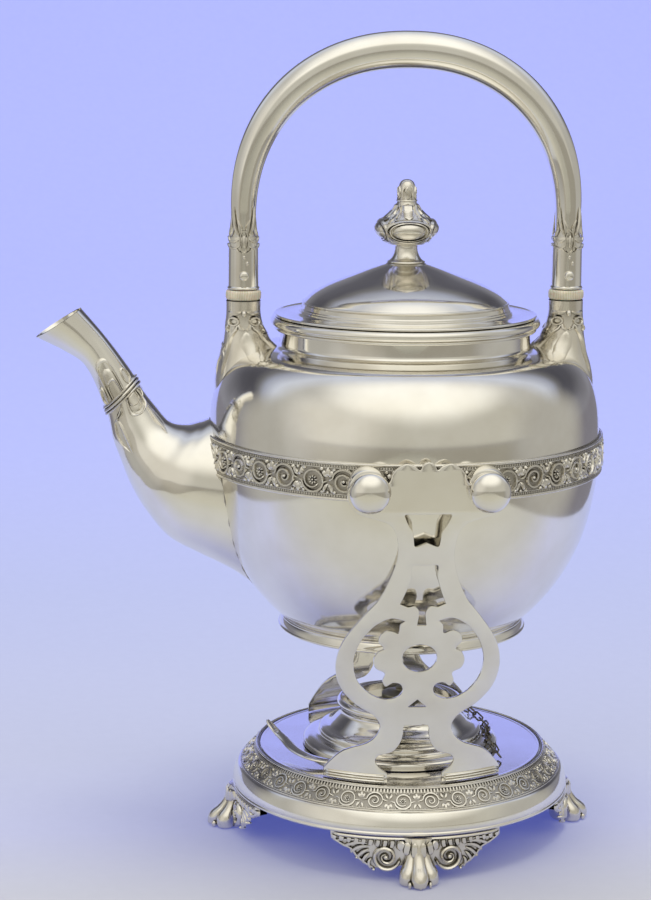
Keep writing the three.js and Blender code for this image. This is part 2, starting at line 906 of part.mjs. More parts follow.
function block(width, depth, height, x, y, z) {
  return solidOf(new THREE.BoxGeometry(width, depth, height).translate(x, y, z));
}

function addHinge() {
  const axisHeight = lidBottom + hingeLift;
  const boreRadius = hingePinRadius + hingePinClearance;
  const boreLength = 3 * hingeKnuckleLength + sinkDepth;
  const bore = solidOf(
    new THREE.CylinderGeometry(boreRadius, boreRadius, boreLength, tubeSteps)
      .rotateZ(Math.PI / 2)
      .translate(0, hingeReach, axisHeight),
  );
  const outerX = hingeKnuckleLength + seatGap;
  const rimClear = mouthRimRadius + seatGap;
  const legDepth = hingeReach + hingeBarrelRadius - rimClear;
  const legY = rimClear + legDepth / 2;
  const legHeight = axisHeight - mouthRimBottom;
  const barHeight = mouthRimHeight / 2;
  const barLength = 3 * hingeKnuckleLength + 2 * seatGap;
  let bracket = block(barLength, legDepth, barHeight, 0, legY, mouthRimBottom + barHeight / 2);
  for (const side of [-1, 1]) {
    const x = side * outerX;
    const leg = block(hingeKnuckleLength, legDepth, legHeight, x, legY, mouthRimBottom + legHeight / 2);
    bracket = bracket.add(barrel(hingeKnuckleLength, x, hingeReach, axisHeight)).add(leg);
  }
  addPiece("hinge_bracket", geometryOf(bracket.subtract(bore)), silver);

  const tongueStart = lidRadius - hingeArmOverlap;
  const tongueDepth = hingeReach - tongueStart;
  const armY = tongueStart + tongueDepth / 2;
  const armZ = lidBottom + lidFlange + seatGap + hingeArmThickness / 2;
  const arm = block(hingeKnuckleLength, tongueDepth, hingeArmThickness, 0, armY, armZ);
  const tongue = barrel(hingeKnuckleLength, 0, hingeReach, axisHeight).add(arm);
  addPiece("hinge_tongue", geometryOf(tongue.subtract(bore)), silver);

  const pin = new THREE.CylinderGeometry(hingePinRadius, hingePinRadius, barLength, tubeSteps);
  addPiece("hinge_pin", pin.rotateZ(Math.PI / 2).translate(0, hingeReach, axisHeight), silver);
}

// Handle: flared sockets on the shoulder, insulating rings, riveted ferrules and the arched tube
const insulatorBottom = socketTop + seatGap;
const ferruleBottom = insulatorBottom + insulatorHeight + seatGap;
const ferruleTop = ferruleBottom + ferruleHeight;
const archSpring = ferruleTop + legRise;
const archTop = archSpring + archRise;
const rivetHeight = ferruleBottom + rivetRise;
// Each station of a socket: how far down, half depth, half width and lean towards the neck
const socketShares = [
  [0, 0.43, 0.43, 0],
  [0.2, 0.44, 0.44, 0],
  [0.42, 0.5, 0.52, -0.02],
  [0.6, 0.62, 0.7, -0.06],
  [0.74, 0.8, 0.9, -0.12],
  [0.86, 0.95, 1, -0.2],
  [1, 1, 1.08, -0.3],
];

const rivetCrownShares = [0.8, 0.7];

function socketGeometry(side) {
  const rings = socketShares.map(([down, deep, wide, lean]) => {
    const ring = [];
    const topFit = socketRadius / (socketShares[0][1] * socketHalfWidth);
    const fit = THREE.MathUtils.lerp(topFit, 1, down);
    for (let i = 0; i < smallSteps; i += 1) {
      const angle = (2 * Math.PI * i) / smallSteps;
      const x = legSpread + (lean + fit * deep * Math.cos(angle)) * socketHalfWidth;
      const y = fit * wide * socketHalfWidth * Math.sin(angle);
      ring.push(new THREE.Vector3(side * x, y, socketTop - down * socketSkirtDrop));
    }
    return ring;
  });
  const clearOfRim = solidOf(
    turned([
      [0, mouthRimBottom - seatGap],
      [mouthRimRadius + seatGap, mouthRimBottom - seatGap],
      [mouthRimRadius + seatGap, mouthRimTop + sinkDepth],
      [0, mouthRimTop + sinkDepth],
    ]),
  );
  return geometryOf(solidOf(loft(rings)).subtract(bellyForm(seatGap)).subtract(clearOfRim));
}

function archPoint(angle) {
  const across = Math.sign(Math.cos(angle)) * Math.abs(Math.cos(angle)) ** (2 / archPower);
  const up = Math.abs(Math.sin(angle)) ** (2 / archPower);
  return new THREE.Vector3(legSpread * across, 0, archSpring + (archTop - archSpring) * up);
}

function handleGeometry() {
  const stations = [];
  const legSteps = 2;
  const legFoot = ferruleTop + seatGap;
  const archStations = 26;
  for (let i = 0; i < legSteps; i += 1) {
    stations.push(new THREE.Vector3(legSpread, 0, legFoot + ((archSpring - legFoot) * i) / legSteps));
  }
  for (let i = 0; i <= archStations; i += 1) stations.push(archPoint((Math.PI * i) / archStations));
  for (let i = legSteps - 1; i >= 0; i -= 1) {
    stations.push(new THREE.Vector3(-legSpread, 0, legFoot + ((archSpring - legFoot) * i) / legSteps));
  }
  const rings = stations.map((point, i, all) => {
    const before = all[Math.max(i - 1, 0)];
    const after = all[Math.min(i + 1, all.length - 1)];
    const along = after.clone().sub(before).normalize();
    const out = new THREE.Vector3(along.z, 0, -along.x);
    const crown = Math.max(0, (point.z - archSpring) / (archTop - archSpring));
    const half = THREE.MathUtils.lerp(legHalfThickness, crownHalfThickness, crown);
    const ring = [];
    for (let k = 0; k < tubeSteps; k += 1) {
      const angle = (2 * Math.PI * (k + 0.5)) / tubeSteps;
      const corner = point.clone().addScaledVector(out, half * Math.cos(angle));
      corner.y = half * Math.sin(angle);
      ring.push(corner);
    }
    return ring;
  });
  return loft(rings);
}

function addHandle() {
  for (const [name, side] of [["left", -1], ["right", 1]]) {
    addPiece(`handle_socket_${name}`, socketGeometry(side), silver);

    const insulatorMiddle = insulatorBottom + insulatorHeight / 2;
    const ring = new THREE.CylinderGeometry(insulatorRadius, insulatorRadius, insulatorHeight, smallSteps);
    ring.rotateX(Math.PI / 2).translate(side * legSpread, 0, insulatorMiddle);
    addPiece(`insulator_${name}`, ring, ivory);

    const boreRadius = rivetShankRadius + rivetClearance;
    const bore = new THREE.CylinderGeometry(boreRadius, boreRadius, 4 * ferruleFootRadius, tubeSteps);
    const taper = new THREE.CylinderGeometry(ferruleTopRadius, ferruleFootRadius, ferruleHeight, smallSteps);
    const body = solidOf(taper.rotateX(Math.PI / 2).translate(0, 0, ferruleBottom + ferruleHeight / 2));
    const drilled = body.subtract(solidOf(bore.translate(0, 0, rivetHeight)));
    addPiece(`ferrule_${name}`, geometryOf(drilled).translate(side * legSpread, 0, 0), silver);

    const seat = ferruleFootRadius + seatGap;
    const [crownAcross, crownUp] = rivetCrownShares;
    const head = [
      [rivetShankRadius, seat],
      [rivetHeadRadius, seat],
      [rivetHeadRadius * crownAcross, seat + rivetHeadHeight * crownUp],
      [0, seat + rivetHeadHeight],
    ];
    const rivet = [...head.map(([radius, along]) => [radius, -along]).reverse(), ...head];
    const rivetBody = turned(rivet, tubeSteps).rotateX(Math.PI / 2);
    addPiece(`rivet_${name}`, rivetBody.translate(side * legSpread, 0, rivetHeight), silver);
  }
  addPiece("handle_arch", handleGeometry(), silver);
}

// Pivot pins: a boss on the belly, a shaft in the cradle and a domed button outside the upright
const bossChamferShare = 0.25;
const buttonDomeShare = 0.62;
const buttonNeckDegrees = -66;

function pinProfile() {
  const inside = bellyRadius - sinkDepth;
  const sheetOutside = uprightHeadReach + seatGap;
  const sheetInside = uprightHeadReach - uprightThickness - seatGap;
  const bossEnd = sheetInside - seatGap;
  const dome = arcPoints(0, pinKnobRadius, pinKnobRadius, buttonNeckDegrees, 90, smallSteps / 2);
  const button = dome.map(([radius, along]) => [radius, sheetOutside + along * buttonDomeShare]);
  const chamfer = pinBossRadius * bossChamferShare;
  return [
    [0, inside],
    [pinBossRadius, inside],
    [pinBossRadius, bossEnd - chamfer],
    [pinBossRadius - chamfer, bossEnd],
    [pinShaftRadius, bossEnd],
    [pinShaftRadius, sheetOutside],
    ...button.slice(0, -1),
    [0, button.at(-1)[1]],
  ];
}

function addPins() {
  const beltOutside = bellyRadius + seatGap + beltThickness + beltBeadProud;
  const clearOfBelt = solidOf(
    turned([
      [0, beltBottom - seatGap],
      [beltOutside + seatGap, beltBottom - seatGap],
      [beltOutside + seatGap, beltTop + seatGap],
      [0, beltTop + seatGap],
    ]),
  );
  const clearOfBelly = bellyForm(seatGap);
  for (const [row, turnSide] of [["front", -1], ["rear", 1]]) {
    for (const [name, side] of [["left", -1], ["right", 1]]) {
      const pin = turned(pinProfile(), smallSteps).rotateX(turnSide * -Math.PI / 2);
      pin.translate(side * pinSpread, 0, pinHeight);
      const solid = solidOf(pin).subtract(clearOfBelly).subtract(clearOfBelt);
      addPiece(`pivot_pin_${row}_${name}`, geometryOf(solid), silver);
    }
  }
}

// Spirit lamp, with its outline in shares of its radius and height
const lampFoot = plateTop + seatGap;
const lampShares = [
  [1, 0],
  [1, 0.17],
  [0.96, 0.22],
  [0.83, 0.26],
  [0.815, 0.44],
  [0.74, 0.49],
  [0.66, 0.72],
  [0.615, 0.82],
  [0.615, 0.98],
];
const dishFloorShare = 0.7;
// The lamp rim's section, in shares of its width inwards and of its height
const lampRimShares = [
  [1, 0],
  [0.33, 0],
  [0, 0.35],
  [0, 0.7],
  [0.33, 1],
  [1, 0.8],
];
// The cap's knob above its ceiling, in shares of the cap's outer radius and of its wall
const capKnobShares = [
  [1, 0],
  [0.7, 1],
  [0.25, 1.5],
  [0.3, 2.6],
  [0, 3],
];

function addLamp() {
  const outer = scaledPoints(lampShares, lampRadius, lampFoot, lampHeight);
  const dishRadius = outer[outer.length - 1][0] - lampWall;
  const dishFloor = lampFoot + lampHeight * dishFloorShare;
  const profile = [
    [0, dishFloor - lampWall],
    [dishRadius - lampWall, dishFloor - lampWall],
    [lampRadius - lampWall * 4, lampFoot + lampWall],
    [lampRadius - lampWall, lampFoot],
    ...outer,
    [dishRadius, outer[outer.length - 1][1]],
    [dishRadius - lampWall / 2, dishFloor + lampWall],
    [dishRadius - lampWall * 2, dishFloor],
    [0, dishFloor],
  ];
  addPiece("lamp_body", turned(profile), silver);

  const rimBase = outer[outer.length - 1][1] + seatGap;
  const lampRimRadius = outer[outer.length - 1][0] + lampRimProud;
  const rim = lampRimShares.map(([inward, up]) => [
    lampRimRadius - inward * lampRimWidth,
    rimBase + up * lampRimHeight,
  ]);
  addPiece("lamp_rim", turned(rim), silver);

  const burnerFoot = dishFloor + seatGap;
  const burnerTop = burnerFoot + burnerHeight;
  const burner = [
    [burnerRadius - burnerWall, burnerFoot],
    [burnerRadius + burnerWall, burnerFoot],
    [burnerRadius + burnerWall, burnerFoot + burnerWall],
    [burnerRadius, burnerFoot + 2 * burnerWall],
    [burnerRadius, burnerTop],
    [burnerRadius - burnerWall, burnerTop],
  ];
  addPiece("burner_tube", turned(burner, smallSteps), oxidisedSilver);

  const wickLength = burnerHeight + wickProud;
  const wick = new THREE.CylinderGeometry(wickRadius, wickRadius, wickLength, smallSteps);
  addPiece("wick", wick.rotateX(Math.PI / 2).translate(0, 0, burnerFoot + wickLength / 2), wickCotton);

  const capInside = burnerRadius + seatGap;
  const capOutside = capInside + capWall;
  const capCeiling = burnerTop + wickProud + seatGap;
  const capFoot = capCeiling - capDepth;
  const capProfile = [
    [0, capCeiling],
    [capInside, capCeiling],
    [capInside, capFoot],
    [capOutside, capFoot],
    ...scaledPoints(capKnobShares, capOutside, capCeiling, capWall),
  ];
  addPiece("burner_cap", turned(capProfile, smallSteps), oxidisedSilver);
  addLampHandle();
  addChain();
}

// A flat strap that leaves the lamp's side and sweeps round to an upturned tip. Each station is a share
// of its reach, a bearing in degrees and a share of the lamp's height.
const lampHandleTaperShare = 0.45;
const lampHandleShares = [
  [0.732, 228, 0.1],
  [0.8, 224, 0.12],
  [0.865, 216, 0.16],
  [0.89, 204, 0.22],
  [0.9, 193, 0.32],
  [0.94, 186, 0.44],
  [1, 181.5, 0.66],
];

function addLampHandle() {
  const stations = lampHandleShares.map(([out, degrees, up]) => {
    const radius = out * lampHandleReach;
    const angle = radians(degrees);
    return new THREE.Vector3(radius * Math.cos(angle), radius * Math.sin(angle), lampFoot + up * lampHeight);
  });
  const route = new THREE.CatmullRomCurve3(stations);
  const steps = 16;
  const rings = [];
  const upwards = new THREE.Vector3(0, 0, 1);
  for (let i = 0; i <= steps; i += 1) {
    const share = i / steps;
    const point = route.getPoint(share);
    const along = route.getTangent(share);
    const side = along.clone().cross(upwards).normalize();
    const up = side.clone().cross(along);
    const width = lampHandleWidth * (1 - lampHandleTaperShare * share ** 2);
    const ring = [[-1, -1], [1, -1], [1, 1], [-1, 1]].map(([across, over]) =>
      point
        .clone()
        .addScaledVector(side, (across * width) / 2)
        .addScaledVector(up, (over * lampHandleThickness) / 2),
    );
    rings.push(ring);
  }
  const clearOfLamp = solidOf(
    turned([
      [0, plateTop],
      [lampRadius + seatGap, plateTop],
      [lampRadius + seatGap, lampFoot + lampHeight],
      [0, lampFoot + lampHeight],
    ]),
  );
  addPiece("lamp_handle", geometryOf(solidOf(loft(rings)).subtract(clearOfLamp)), silver);
}

// The chain drops from the lamp's rim, lies on its lower step and ends on the plate.
// Each place is a share of the lamp's radius, a bearing in degrees and a share of the lamp's height.
const chainShares = [
  [0.72, 31, 1.0],
  [0.76, 29, 0.78],
  [0.86, 24, 0.54],
  [0.91, 16, 0.36],
  [0.91, 6, 0.34],
  [0.91, -6, 0.34],
  [0.915, -17, 0.34],
  [0.97, -25, 0.32],
  [1.07, -31, 0.15],
  [1.16, -36, 0.1],
];

function chainLinkGeometry(length) {
  const halfWidth = 3 * chainWireRadius + chainLinkSlack;
  const straight = length / 2 - halfWidth;
  const rings = [];
  const steps = 8;
  for (let i = 0; i < steps; i += 1) {
    const angle = (2 * Math.PI * (i + 0.5)) / steps;
    const bend = new THREE.Vector3(Math.cos(angle), Math.sin(angle), 0);
    const centre = bend.clone().multiplyScalar(halfWidth - chainWireRadius);
    centre.x += Math.sign(Math.cos(angle)) * straight;
    const ring = [];
    for (let k = 0; k < wireSides; k += 1) {
      const turn = (2 * Math.PI * k) / wireSides;
      const point = centre.clone().addScaledVector(bend, chainWireRadius * Math.cos(turn));
      point.z = chainWireRadius * Math.sin(turn);
      ring.push(point);
    }
    rings.push(ring);
  }
  return loft(rings, true);
}

function addChain() {
  const places = chainShares.map(([out, degrees, up]) => {
    const angle = radians(degrees);
    const radius = out * lampRadius;
    return new THREE.Vector3(radius * Math.cos(angle), radius * Math.sin(angle), lampFoot + up * lampHeight);
  });
  const route = new THREE.CatmullRomCurve3(places);
  const count = Math.round(route.getLength() / chainPitch);
  const pitch = route.getLength() / count;
  const joints = route.getSpacedPoints(count);
  const linkLength = pitch + chainLinkSlack + 4 * chainWireRadius;
  for (let i = 0; i < count; i += 1) {
    const along = joints[i + 1].clone().sub(joints[i]).normalize();
    const number = String(i + 1).padStart(2, "0");
    const link = addPiece(`chain_link_${number}`, chainLinkGeometry(linkLength), silver);
    link.position.copy(joints[i]).add(joints[i + 1]).multiplyScalar(0.5);
    const forward = new THREE.Vector3(1, 0, 0);
    const lengthwise = new THREE.Quaternion().setFromUnitVectors(forward, along);
    const quarter = (i % 2 ? Math.PI : -Math.PI) / 4;
    const roll = new THREE.Quaternion().setFromAxisAngle(forward, quarter);
    link.quaternion.copy(lengthwise).multiply(roll);
  }
}

addBase();
addFeet();
addUprights();
addBody();
addSpout();
addBelt();
addMouth();
addLid();
addHinge();
addHandle();
addPins();
addLamp();

// The origin goes under the middle of the whole piece, on the surface it stands on
const model = new THREE.Group();
model.add(kettleSet);
model.updateMatrixWorld(true);
const extent = new THREE.Box3().setFromObject(model, true);
const middle = extent.getCenter(new THREE.Vector3());
kettleSet.position.set(-middle.x, -middle.y, -extent.min.z);

export default model;
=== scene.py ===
"""A silver spirit kettle on its stand, with its lamp: the looks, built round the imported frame.

Pieces are modelled round the stand's upright axis, in metres, and piece() carries them to their place.
Angles round the axis start at +X and run towards +Y, so the front of the object lies at -90 degrees.
"""

from math import atan2, cos, pi, radians, sin, sqrt

import bmesh
import bpy
from mathutils import Matrix, Vector


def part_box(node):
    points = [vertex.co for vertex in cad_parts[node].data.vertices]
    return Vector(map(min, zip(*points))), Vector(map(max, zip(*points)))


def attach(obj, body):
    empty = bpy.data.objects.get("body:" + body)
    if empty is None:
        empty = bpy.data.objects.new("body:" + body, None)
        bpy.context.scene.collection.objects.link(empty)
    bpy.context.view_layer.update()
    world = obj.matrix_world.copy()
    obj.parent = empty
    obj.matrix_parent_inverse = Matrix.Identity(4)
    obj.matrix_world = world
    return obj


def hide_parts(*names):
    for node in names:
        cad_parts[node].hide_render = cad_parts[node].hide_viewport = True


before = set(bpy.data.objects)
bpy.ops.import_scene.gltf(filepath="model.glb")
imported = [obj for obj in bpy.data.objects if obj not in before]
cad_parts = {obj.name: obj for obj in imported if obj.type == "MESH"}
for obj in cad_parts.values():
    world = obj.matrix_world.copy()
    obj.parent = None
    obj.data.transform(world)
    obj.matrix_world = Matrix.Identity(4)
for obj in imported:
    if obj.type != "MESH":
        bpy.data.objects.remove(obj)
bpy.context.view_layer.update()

# Units and how finely round things are cut
MM = 0.001
TURN = 2 * pi
LATHE_STEPS = 160
SMALL_STEPS = 48
HAIR = 0.002 * MM

# The camera, fitted to landmarks on the base, belly, rims and handle
CAMERA_PLACE = Vector((-71.4, -938.7, 341.3)) * MM
CAMERA_BEARING = radians(4.465)
CAMERA_PITCH = radians(10.512)
CAMERA_ROLL = radians(-0.41)
CAMERA_FOCAL = 89.64
SENSOR_SIZE = 36


# Places and sizes, read from the frame

BOXES = {name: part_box(name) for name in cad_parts}


def low(node):
    return BOXES[node][0]


def high(node):
    return BOXES[node][1]


def half_size(node, axis):
    """Half the size of a node along an axis, from 0 for X to 2 for Z."""
    return (high(node)[axis] - low(node)[axis]) / 2


def middle_of(node, axis):
    return (high(node)[axis] + low(node)[axis]) / 2


def radius_of(node):
    """Half the depth of a round node. The depth is read, because the width of some takes in a lean."""
    return half_size(node, 1)


AXIS_X = middle_of("base_plate", 0)
PLATE_TOP = high("base_plate").z
PLATE_RADIUS = radius_of("base_plate")
BELLY_RADIUS = radius_of("kettle_body")
BELLY_BOTTOM = low("kettle_body").z
NECK_TOP = high("kettle_body").z
NECK_HEIGHT = 6.9 * MM
NECK_RADIUS = 53 * MM
SHOULDER_TOP = NECK_TOP - NECK_HEIGHT
BODY_WALL = 1.5 * MM
PIN_X = middle_of("pivot_pin_front_right", 0) - AXIS_X
PIN_Z = middle_of("pivot_pin_front_right", 2)
LEG_X = middle_of("insulator_right", 0) - AXIS_X
UPRIGHT_THICK = 2 * MM
SIDES = (("left", -1), ("right", 1))
ROWS = (("front", -1), ("rear", 1))


# Shapes: outlines first, then what turns, wraps or cuts them

def smooth(points, per=6):
    """A curve through given points of any dimension, with per steps between each two."""
    points = [Vector(p) for p in points]
    ends = [points[0] * 2 - points[1]] + points + [points[-1] * 2 - points[-2]]
    curve = []
    for before, start, end, after in zip(ends, ends[1:], ends[2:], ends[3:]):
        times = [0]
        for a, b in ((before, start), (start, end), (end, after)):
            times.append(times[-1] + max((b - a).length, HAIR) ** 0.5)
        t1, t2, t3 = times[1:]
        for step in range(per):
            t = t1 + (t2 - t1) * step / per
            a1 = before.lerp(start, t / t1)
            a2 = start.lerp(end, (t - t1) / (t2 - t1))
            a3 = end.lerp(after, (t - t2) / (t3 - t2))
            b1 = a1.lerp(a2, t / t2)
            b2 = a2.lerp(a3, (t - t1) / (t3 - t1))
            curve.append(b1.lerp(b2, (t - t1) / (t2 - t1)))
    return curve + [points[-1]]


def rounded(points, radius, steps=4):
    """The same outline with each inner corner drawn as an arc that starts radius before it."""
    points = [Vector(p) for p in points]
    curve = [points[0]]
    for before, corner, after in zip(points, points[1:], points[2:]):
        into = before - corner
        out = after - corner
        reach = min(radius, into.length * 0.45, out.length * 0.45)
        start = corner + into.normalized() * reach
        end = corner + out.normalized() * reach
        for step in range(steps + 1):
            share = step / steps
            curve.append(start.lerp(corner, share).lerp(corner.lerp(end, share), share))
    return curve + [points[-1]]


def scaled(shares, radius, base, height):
    """Outline points from shares of a radius and of a height above base."""
    return [(across * radius, base + up * height) for across, up in shares]


def inset(outline, wall):
    """The outline moved to its left by the wall, which is inwards where it runs upwards."""
    moved = []
    for i, point in enumerate(outline):
        along = outline[min(i + 1, len(outline) - 1)] - outline[max(i - 1, 0)]
        along.normalize()
        moved.append(Vector((max(point[0] - along[1] * wall, 0), point[1] + along[0] * wall)))
    return moved


def walled(outline, wall):
    """A closed outline: the outer face, then the inner face back again."""
    outline = [Vector(p) for p in outline]
    return outline + inset(outline, wall)[::-1]


def half_round(radius, height, middle, roll, start=-90, end=90, steps=12):
    """Points of an arc of the given roll radius about (radius, middle), flattened to the height."""
    angles = [radians(start + (end - start) * i / steps) for i in range(steps + 1)]
    return [(radius + roll * cos(a), middle + height / 2 * sin(a)) for a in angles]


def turned(bm, outline, steps=LATHE_STEPS):
    """Spins an outline of (radius, height) about the upright axis. One that leaves the axis is closed."""
    spun = bmesh.new()
    verts = [spun.verts.new((radius, 0, height)) for radius, height in outline]
    edges = [spun.edges.new(pair) for pair in zip(verts, verts[1:])]
    if outline[0][0] > HAIR or outline[-1][0] > HAIR:
        edges.append(spun.edges.new((verts[-1], verts[0])))
    bmesh.ops.spin(spun, geom=verts + edges, cent=(0, 0, 0), axis=(0, 0, 1), angle=TURN,
                   steps=steps, use_merge=True)
    joined(bm, as_mesh(spun))
    return bm


def wrapped(bm, across, along, place):
    """A grid of faces with each corner where place(u, v) says, for u and v from 0 to 1."""
    made = bmesh.ops.create_grid(bm, x_segments=across, y_segments=along, size=0.5)["verts"]
    for vert in made:
        vert.co = place(vert.co.x + 0.5, vert.co.y + 0.5)


def step_at(values, share):
    """The neighbours in a list that a share of its length falls between, and the part of the step done."""
    place = min(max(share, 0), 1) * (len(values) - 1)
    index = min(int(place), len(values) - 2)
    return values[index], values[index + 1], place - index


def between(points, share):
    """The point at a share of the way along a list."""
    before, after, part = step_at(points, share)
    return before.lerp(after, part)


def stroke(bm, route, width, height, shares=(0, 1, 0), groove=0, around=8, steps=0):
    """A raised stroke along a flat route, as wide as the shares say and closed underneath.

    A route that ends where it starts makes a closed frame."""
    route = [Vector(p) for p in route]
    closed = (route[0] - route[-1]).length < HAIR

    def place(u, v):
        before, after, part = step_at(shares, v)
        share = 0 if v in (0, 1) and not closed else before + (after - before) * part
        middle = between(route, v)
        further, nearer = ((v + 0.01) % 1, (v - 0.01) % 1) if closed else (v + 0.01, v - 0.01)
        ahead = between(route, further) - between(route, nearer)
        ahead.normalize()
        rise = sin(u * TURN)
        across = cos(u * TURN) * width / 2 * share
        up = height * share ** 0.5 * (rise * (1 - groove * rise ** 6) if rise > 0 else 0.3 * rise)
        return Vector((middle.x - ahead.y * across, middle.y + ahead.x * across, up))

    wrapped(bm, around, steps or max(len(route) - 1, 4), place)


def drawn(bm, route, width, proud, shares, groove=0, around=8, mirror=1):
    """A stroke along a smooth curve, all in millimetres, with x turned over where the mirror is -1."""
    curve = [Vector((x * mirror, y)) * MM for x, y in smooth(route, 4)]
    stroke(bm, curve, width * MM, proud * MM, shares, groove, around)


def boss(bm, x, y, half_width, half_height, proud, steps=12):
    """A raised oval, domed on top."""
    made = bmesh.ops.create_uvsphere(bm, u_segments=steps, v_segments=6, radius=1)["verts"]
    for vert in made:
        vert.co = Vector((x + vert.co.x * half_width, y + vert.co.y * half_height, vert.co.z * proud))


def oval(x, y, half_width, half_height, steps):
    """A closed route round an oval."""
    angles = [TURN * i / steps for i in range(steps)]
    route = [Vector((x + half_width * cos(a), y + half_height * sin(a))) for a in angles]
    return route + [route[0].copy()]


def spiral(x, y, inner, outer, start, turns, steps):
    """A route that winds outwards about a point, anticlockwise where turns is above 0."""
    route = []
    for i in range(steps + 1):
        angle = start + TURN * turns * i / steps
        radius = inner + (outer - inner) * i / steps
        route.append(Vector((x + radius * cos(angle), y + radius * sin(angle))))
    return route


def flipped(route, x=1, y=1):
    return [Vector((p[0] * x, p[1] * y)) for p in route]


def moved(verts, place):
    for vert in verts:
        vert.co = place(vert.co)


def joined(bm, mesh, place=None):
    """Adds a copy of a mesh to bm, with each point put where place says."""
    count = len(bm.verts)
    bm.from_mesh(mesh)
    bm.verts.ensure_lookup_table()
    if place:
        moved(bm.verts[count:], place)


def as_mesh(bm, name="motif"):
    mesh = bpy.data.meshes.new(name)
    bm.to_mesh(mesh)
    bm.free()
    return mesh


def curve_mesh(loops, **settings):
    """The mesh of a curve with these settings, drawn through closed loops of points."""
    curve = bpy.data.curves.new("curve", "CURVE")
    for name, value in settings.items():
        setattr(curve, name, value)
    for loop in loops:
        spline = curve.splines.new("POLY")
        spline.use_cyclic_u = True
        spline.points.add(len(loop) - 1)
        for target, point in zip(spline.points, loop):
            target.co = (*Vector(point).to_3d(), 1)
    holder = bpy.data.objects.new("holder", curve)
    mesh = bpy.data.meshes.new_from_object(holder)
    bpy.data.objects.remove(holder)
    bpy.data.curves.remove(curve)
    return mesh


def piece(name, bm, body, materials, replaced=(), sharp=40):
    """Closes, carries to the stand's place and names a finished piece, and hides the frame's nodes that it
    stands for.
    """
    bmesh.ops.remove_doubles(bm, verts=bm.verts, dist=HAIR)
    bmesh.ops.dissolve_degenerate(bm, edges=bm.edges, dist=HAIR / 2)
    bmesh.ops.recalc_face_normals(bm, faces=bm.faces)
    bmesh.ops.translate(bm, verts=bm.verts, vec=(AXIS_X, 0, 0))
    mesh = as_mesh(bm, name)
    mesh.shade_smooth()
    mesh.set_sharp_from_angle(angle=radians(sharp))
    for material in materials:
        mesh.materials.append(material)
    made = bpy.data.objects.new(name, mesh)
    bpy.context.scene.collection.objects.link(made)
    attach(made, body)
    if replaced:
        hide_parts(*replaced)


# Materials

def linear(code):
    """An sRGB hex colour as linear RGBA."""
    channels = [int(code[i:i + 2], 16) / 255 for i in (1, 3, 5)]
    return [c / 12.92 if c <= 0.04045 else ((c + 0.055) / 1.055) ** 2.4 for c in channels] + [1]


def add_node(tree, kind, settings, output=0):
    """Adds a shader node and gives one of its outputs.

    Each setting is a property or an input, and a socket as its value is linked in."""
    node = tree.nodes.new("ShaderNode" + kind)
    for name, value in settings.items():
        if isinstance(value, bpy.types.NodeSocket):
            tree.links.new(node.inputs[name], value)
        elif isinstance(name, str) and hasattr(node, name):
            setattr(node, name, value)
        else:
            node.inputs[name].default_value = value
    return node.outputs[output]


def ramp(tree, value, stops):
    """A colour ramp over the value, from places and sRGB hex colours."""
    colour = add_node(tree, "ValToRGB", {"Fac": value})
    elements = colour.node.color_ramp.elements
    while len(elements) < len(stops):
        elements.new(0.5)
    for element, (place, code) in zip(elements, stops):
        element.position = place
        element.color = linear(code)
    return colour


def mix(tree, how, share, first, second):
    """Two colours blended by a share."""
    return add_node(tree, "MixRGB", {"blend_type": how, "Fac": share, "Color1": first, "Color2": second})


def span(tree, value, start, end, to=(0, 1), kind="LINEAR"):
    """The value carried from one range over to another."""
    return add_node(tree, "MapRange", {"interpolation_type": kind, "Value": value, "From Min": start,
                                       "From Max": end, "To Min": to[0], "To Max": to[1]})


def noise(tree, place, size, detail, **more):
    """Noise with features about as large as the size."""
    return add_node(tree, "TexNoise", {"Vector": place, "Scale": 1 / size, "Detail": detail, **more})


def bump(tree, height, strength, distance, **more):
    return add_node(tree, "Bump", {"Height": height, "Strength": strength, "Distance": distance, **more})


def new_material(name):
    """A material, its node tree, and object coordinates counted from the stand's axis."""
    material = bpy.data.materials.new(name)
    material.use_nodes = True
    tree = material.node_tree
    tree.nodes.clear()
    place = add_node(tree, "TexCoord", {}, "Object")
    return material, tree, add_node(tree, "Mapping", {"Location": (-AXIS_X, 0, 0), "Vector": place})


def finished(tree, shader, kind="Material"):
    output = tree.nodes.new("ShaderNodeOutput" + kind)
    tree.links.new(output.inputs["Surface"], shader)


def silver(name, bright, warm, gloss, wear=0.035, recess=0):
    """Sterling silver, raised and hand polished: a mirror softened by wiping, with hair scratches."""
    material, tree, place = new_material(name)
    # Polishing mop swirls are 0.1 to 0.3 mm apart and are drawn about 1 mm apart, so that they show.
    hairs = noise(tree, place, 1.1 * MM, 3, Roughness=0.6, Distortion=1.5)
    # Wiped bands of tarnish, about 25 mm across
    clouds = noise(tree, place, 25 * MM, 4, Roughness=0.55)
    # Slow unevenness of raised metal, about 18 mm across
    dents = noise(tree, place, 18 * MM, 1)
    colour = ramp(tree, clouds, [(0.35, bright), (0.75, warm)])
    if recess:
        # Painted shade with tarnish: occlusion darkens the bottoms of the chasing, for tarnish that polish
        # doesn't reach and for the shade that falls in them.
        depth = add_node(tree, "AmbientOcclusion", {"Distance": recess, "samples": 8, "only_local": True},
                         "AO")
        colour = mix(tree, "MULTIPLY", 1, colour, ramp(tree, depth, [(0.2, "#49443C"), (0.72, "#FFFFFF")]))
    rough = span(tree, hairs, 0.3, 0.7, (gloss, gloss + wear))
    swirl = bump(tree, hairs, 0.12, 0.01 * MM)
    raised = bump(tree, dents, 0.25, 0.08 * MM, Normal=swirl)
    finished(tree, add_node(tree, "BsdfPrincipled", {"Metallic": 1, "Base Color": colour, "Roughness": rough,
                                                     "Normal": raised}))
    return material


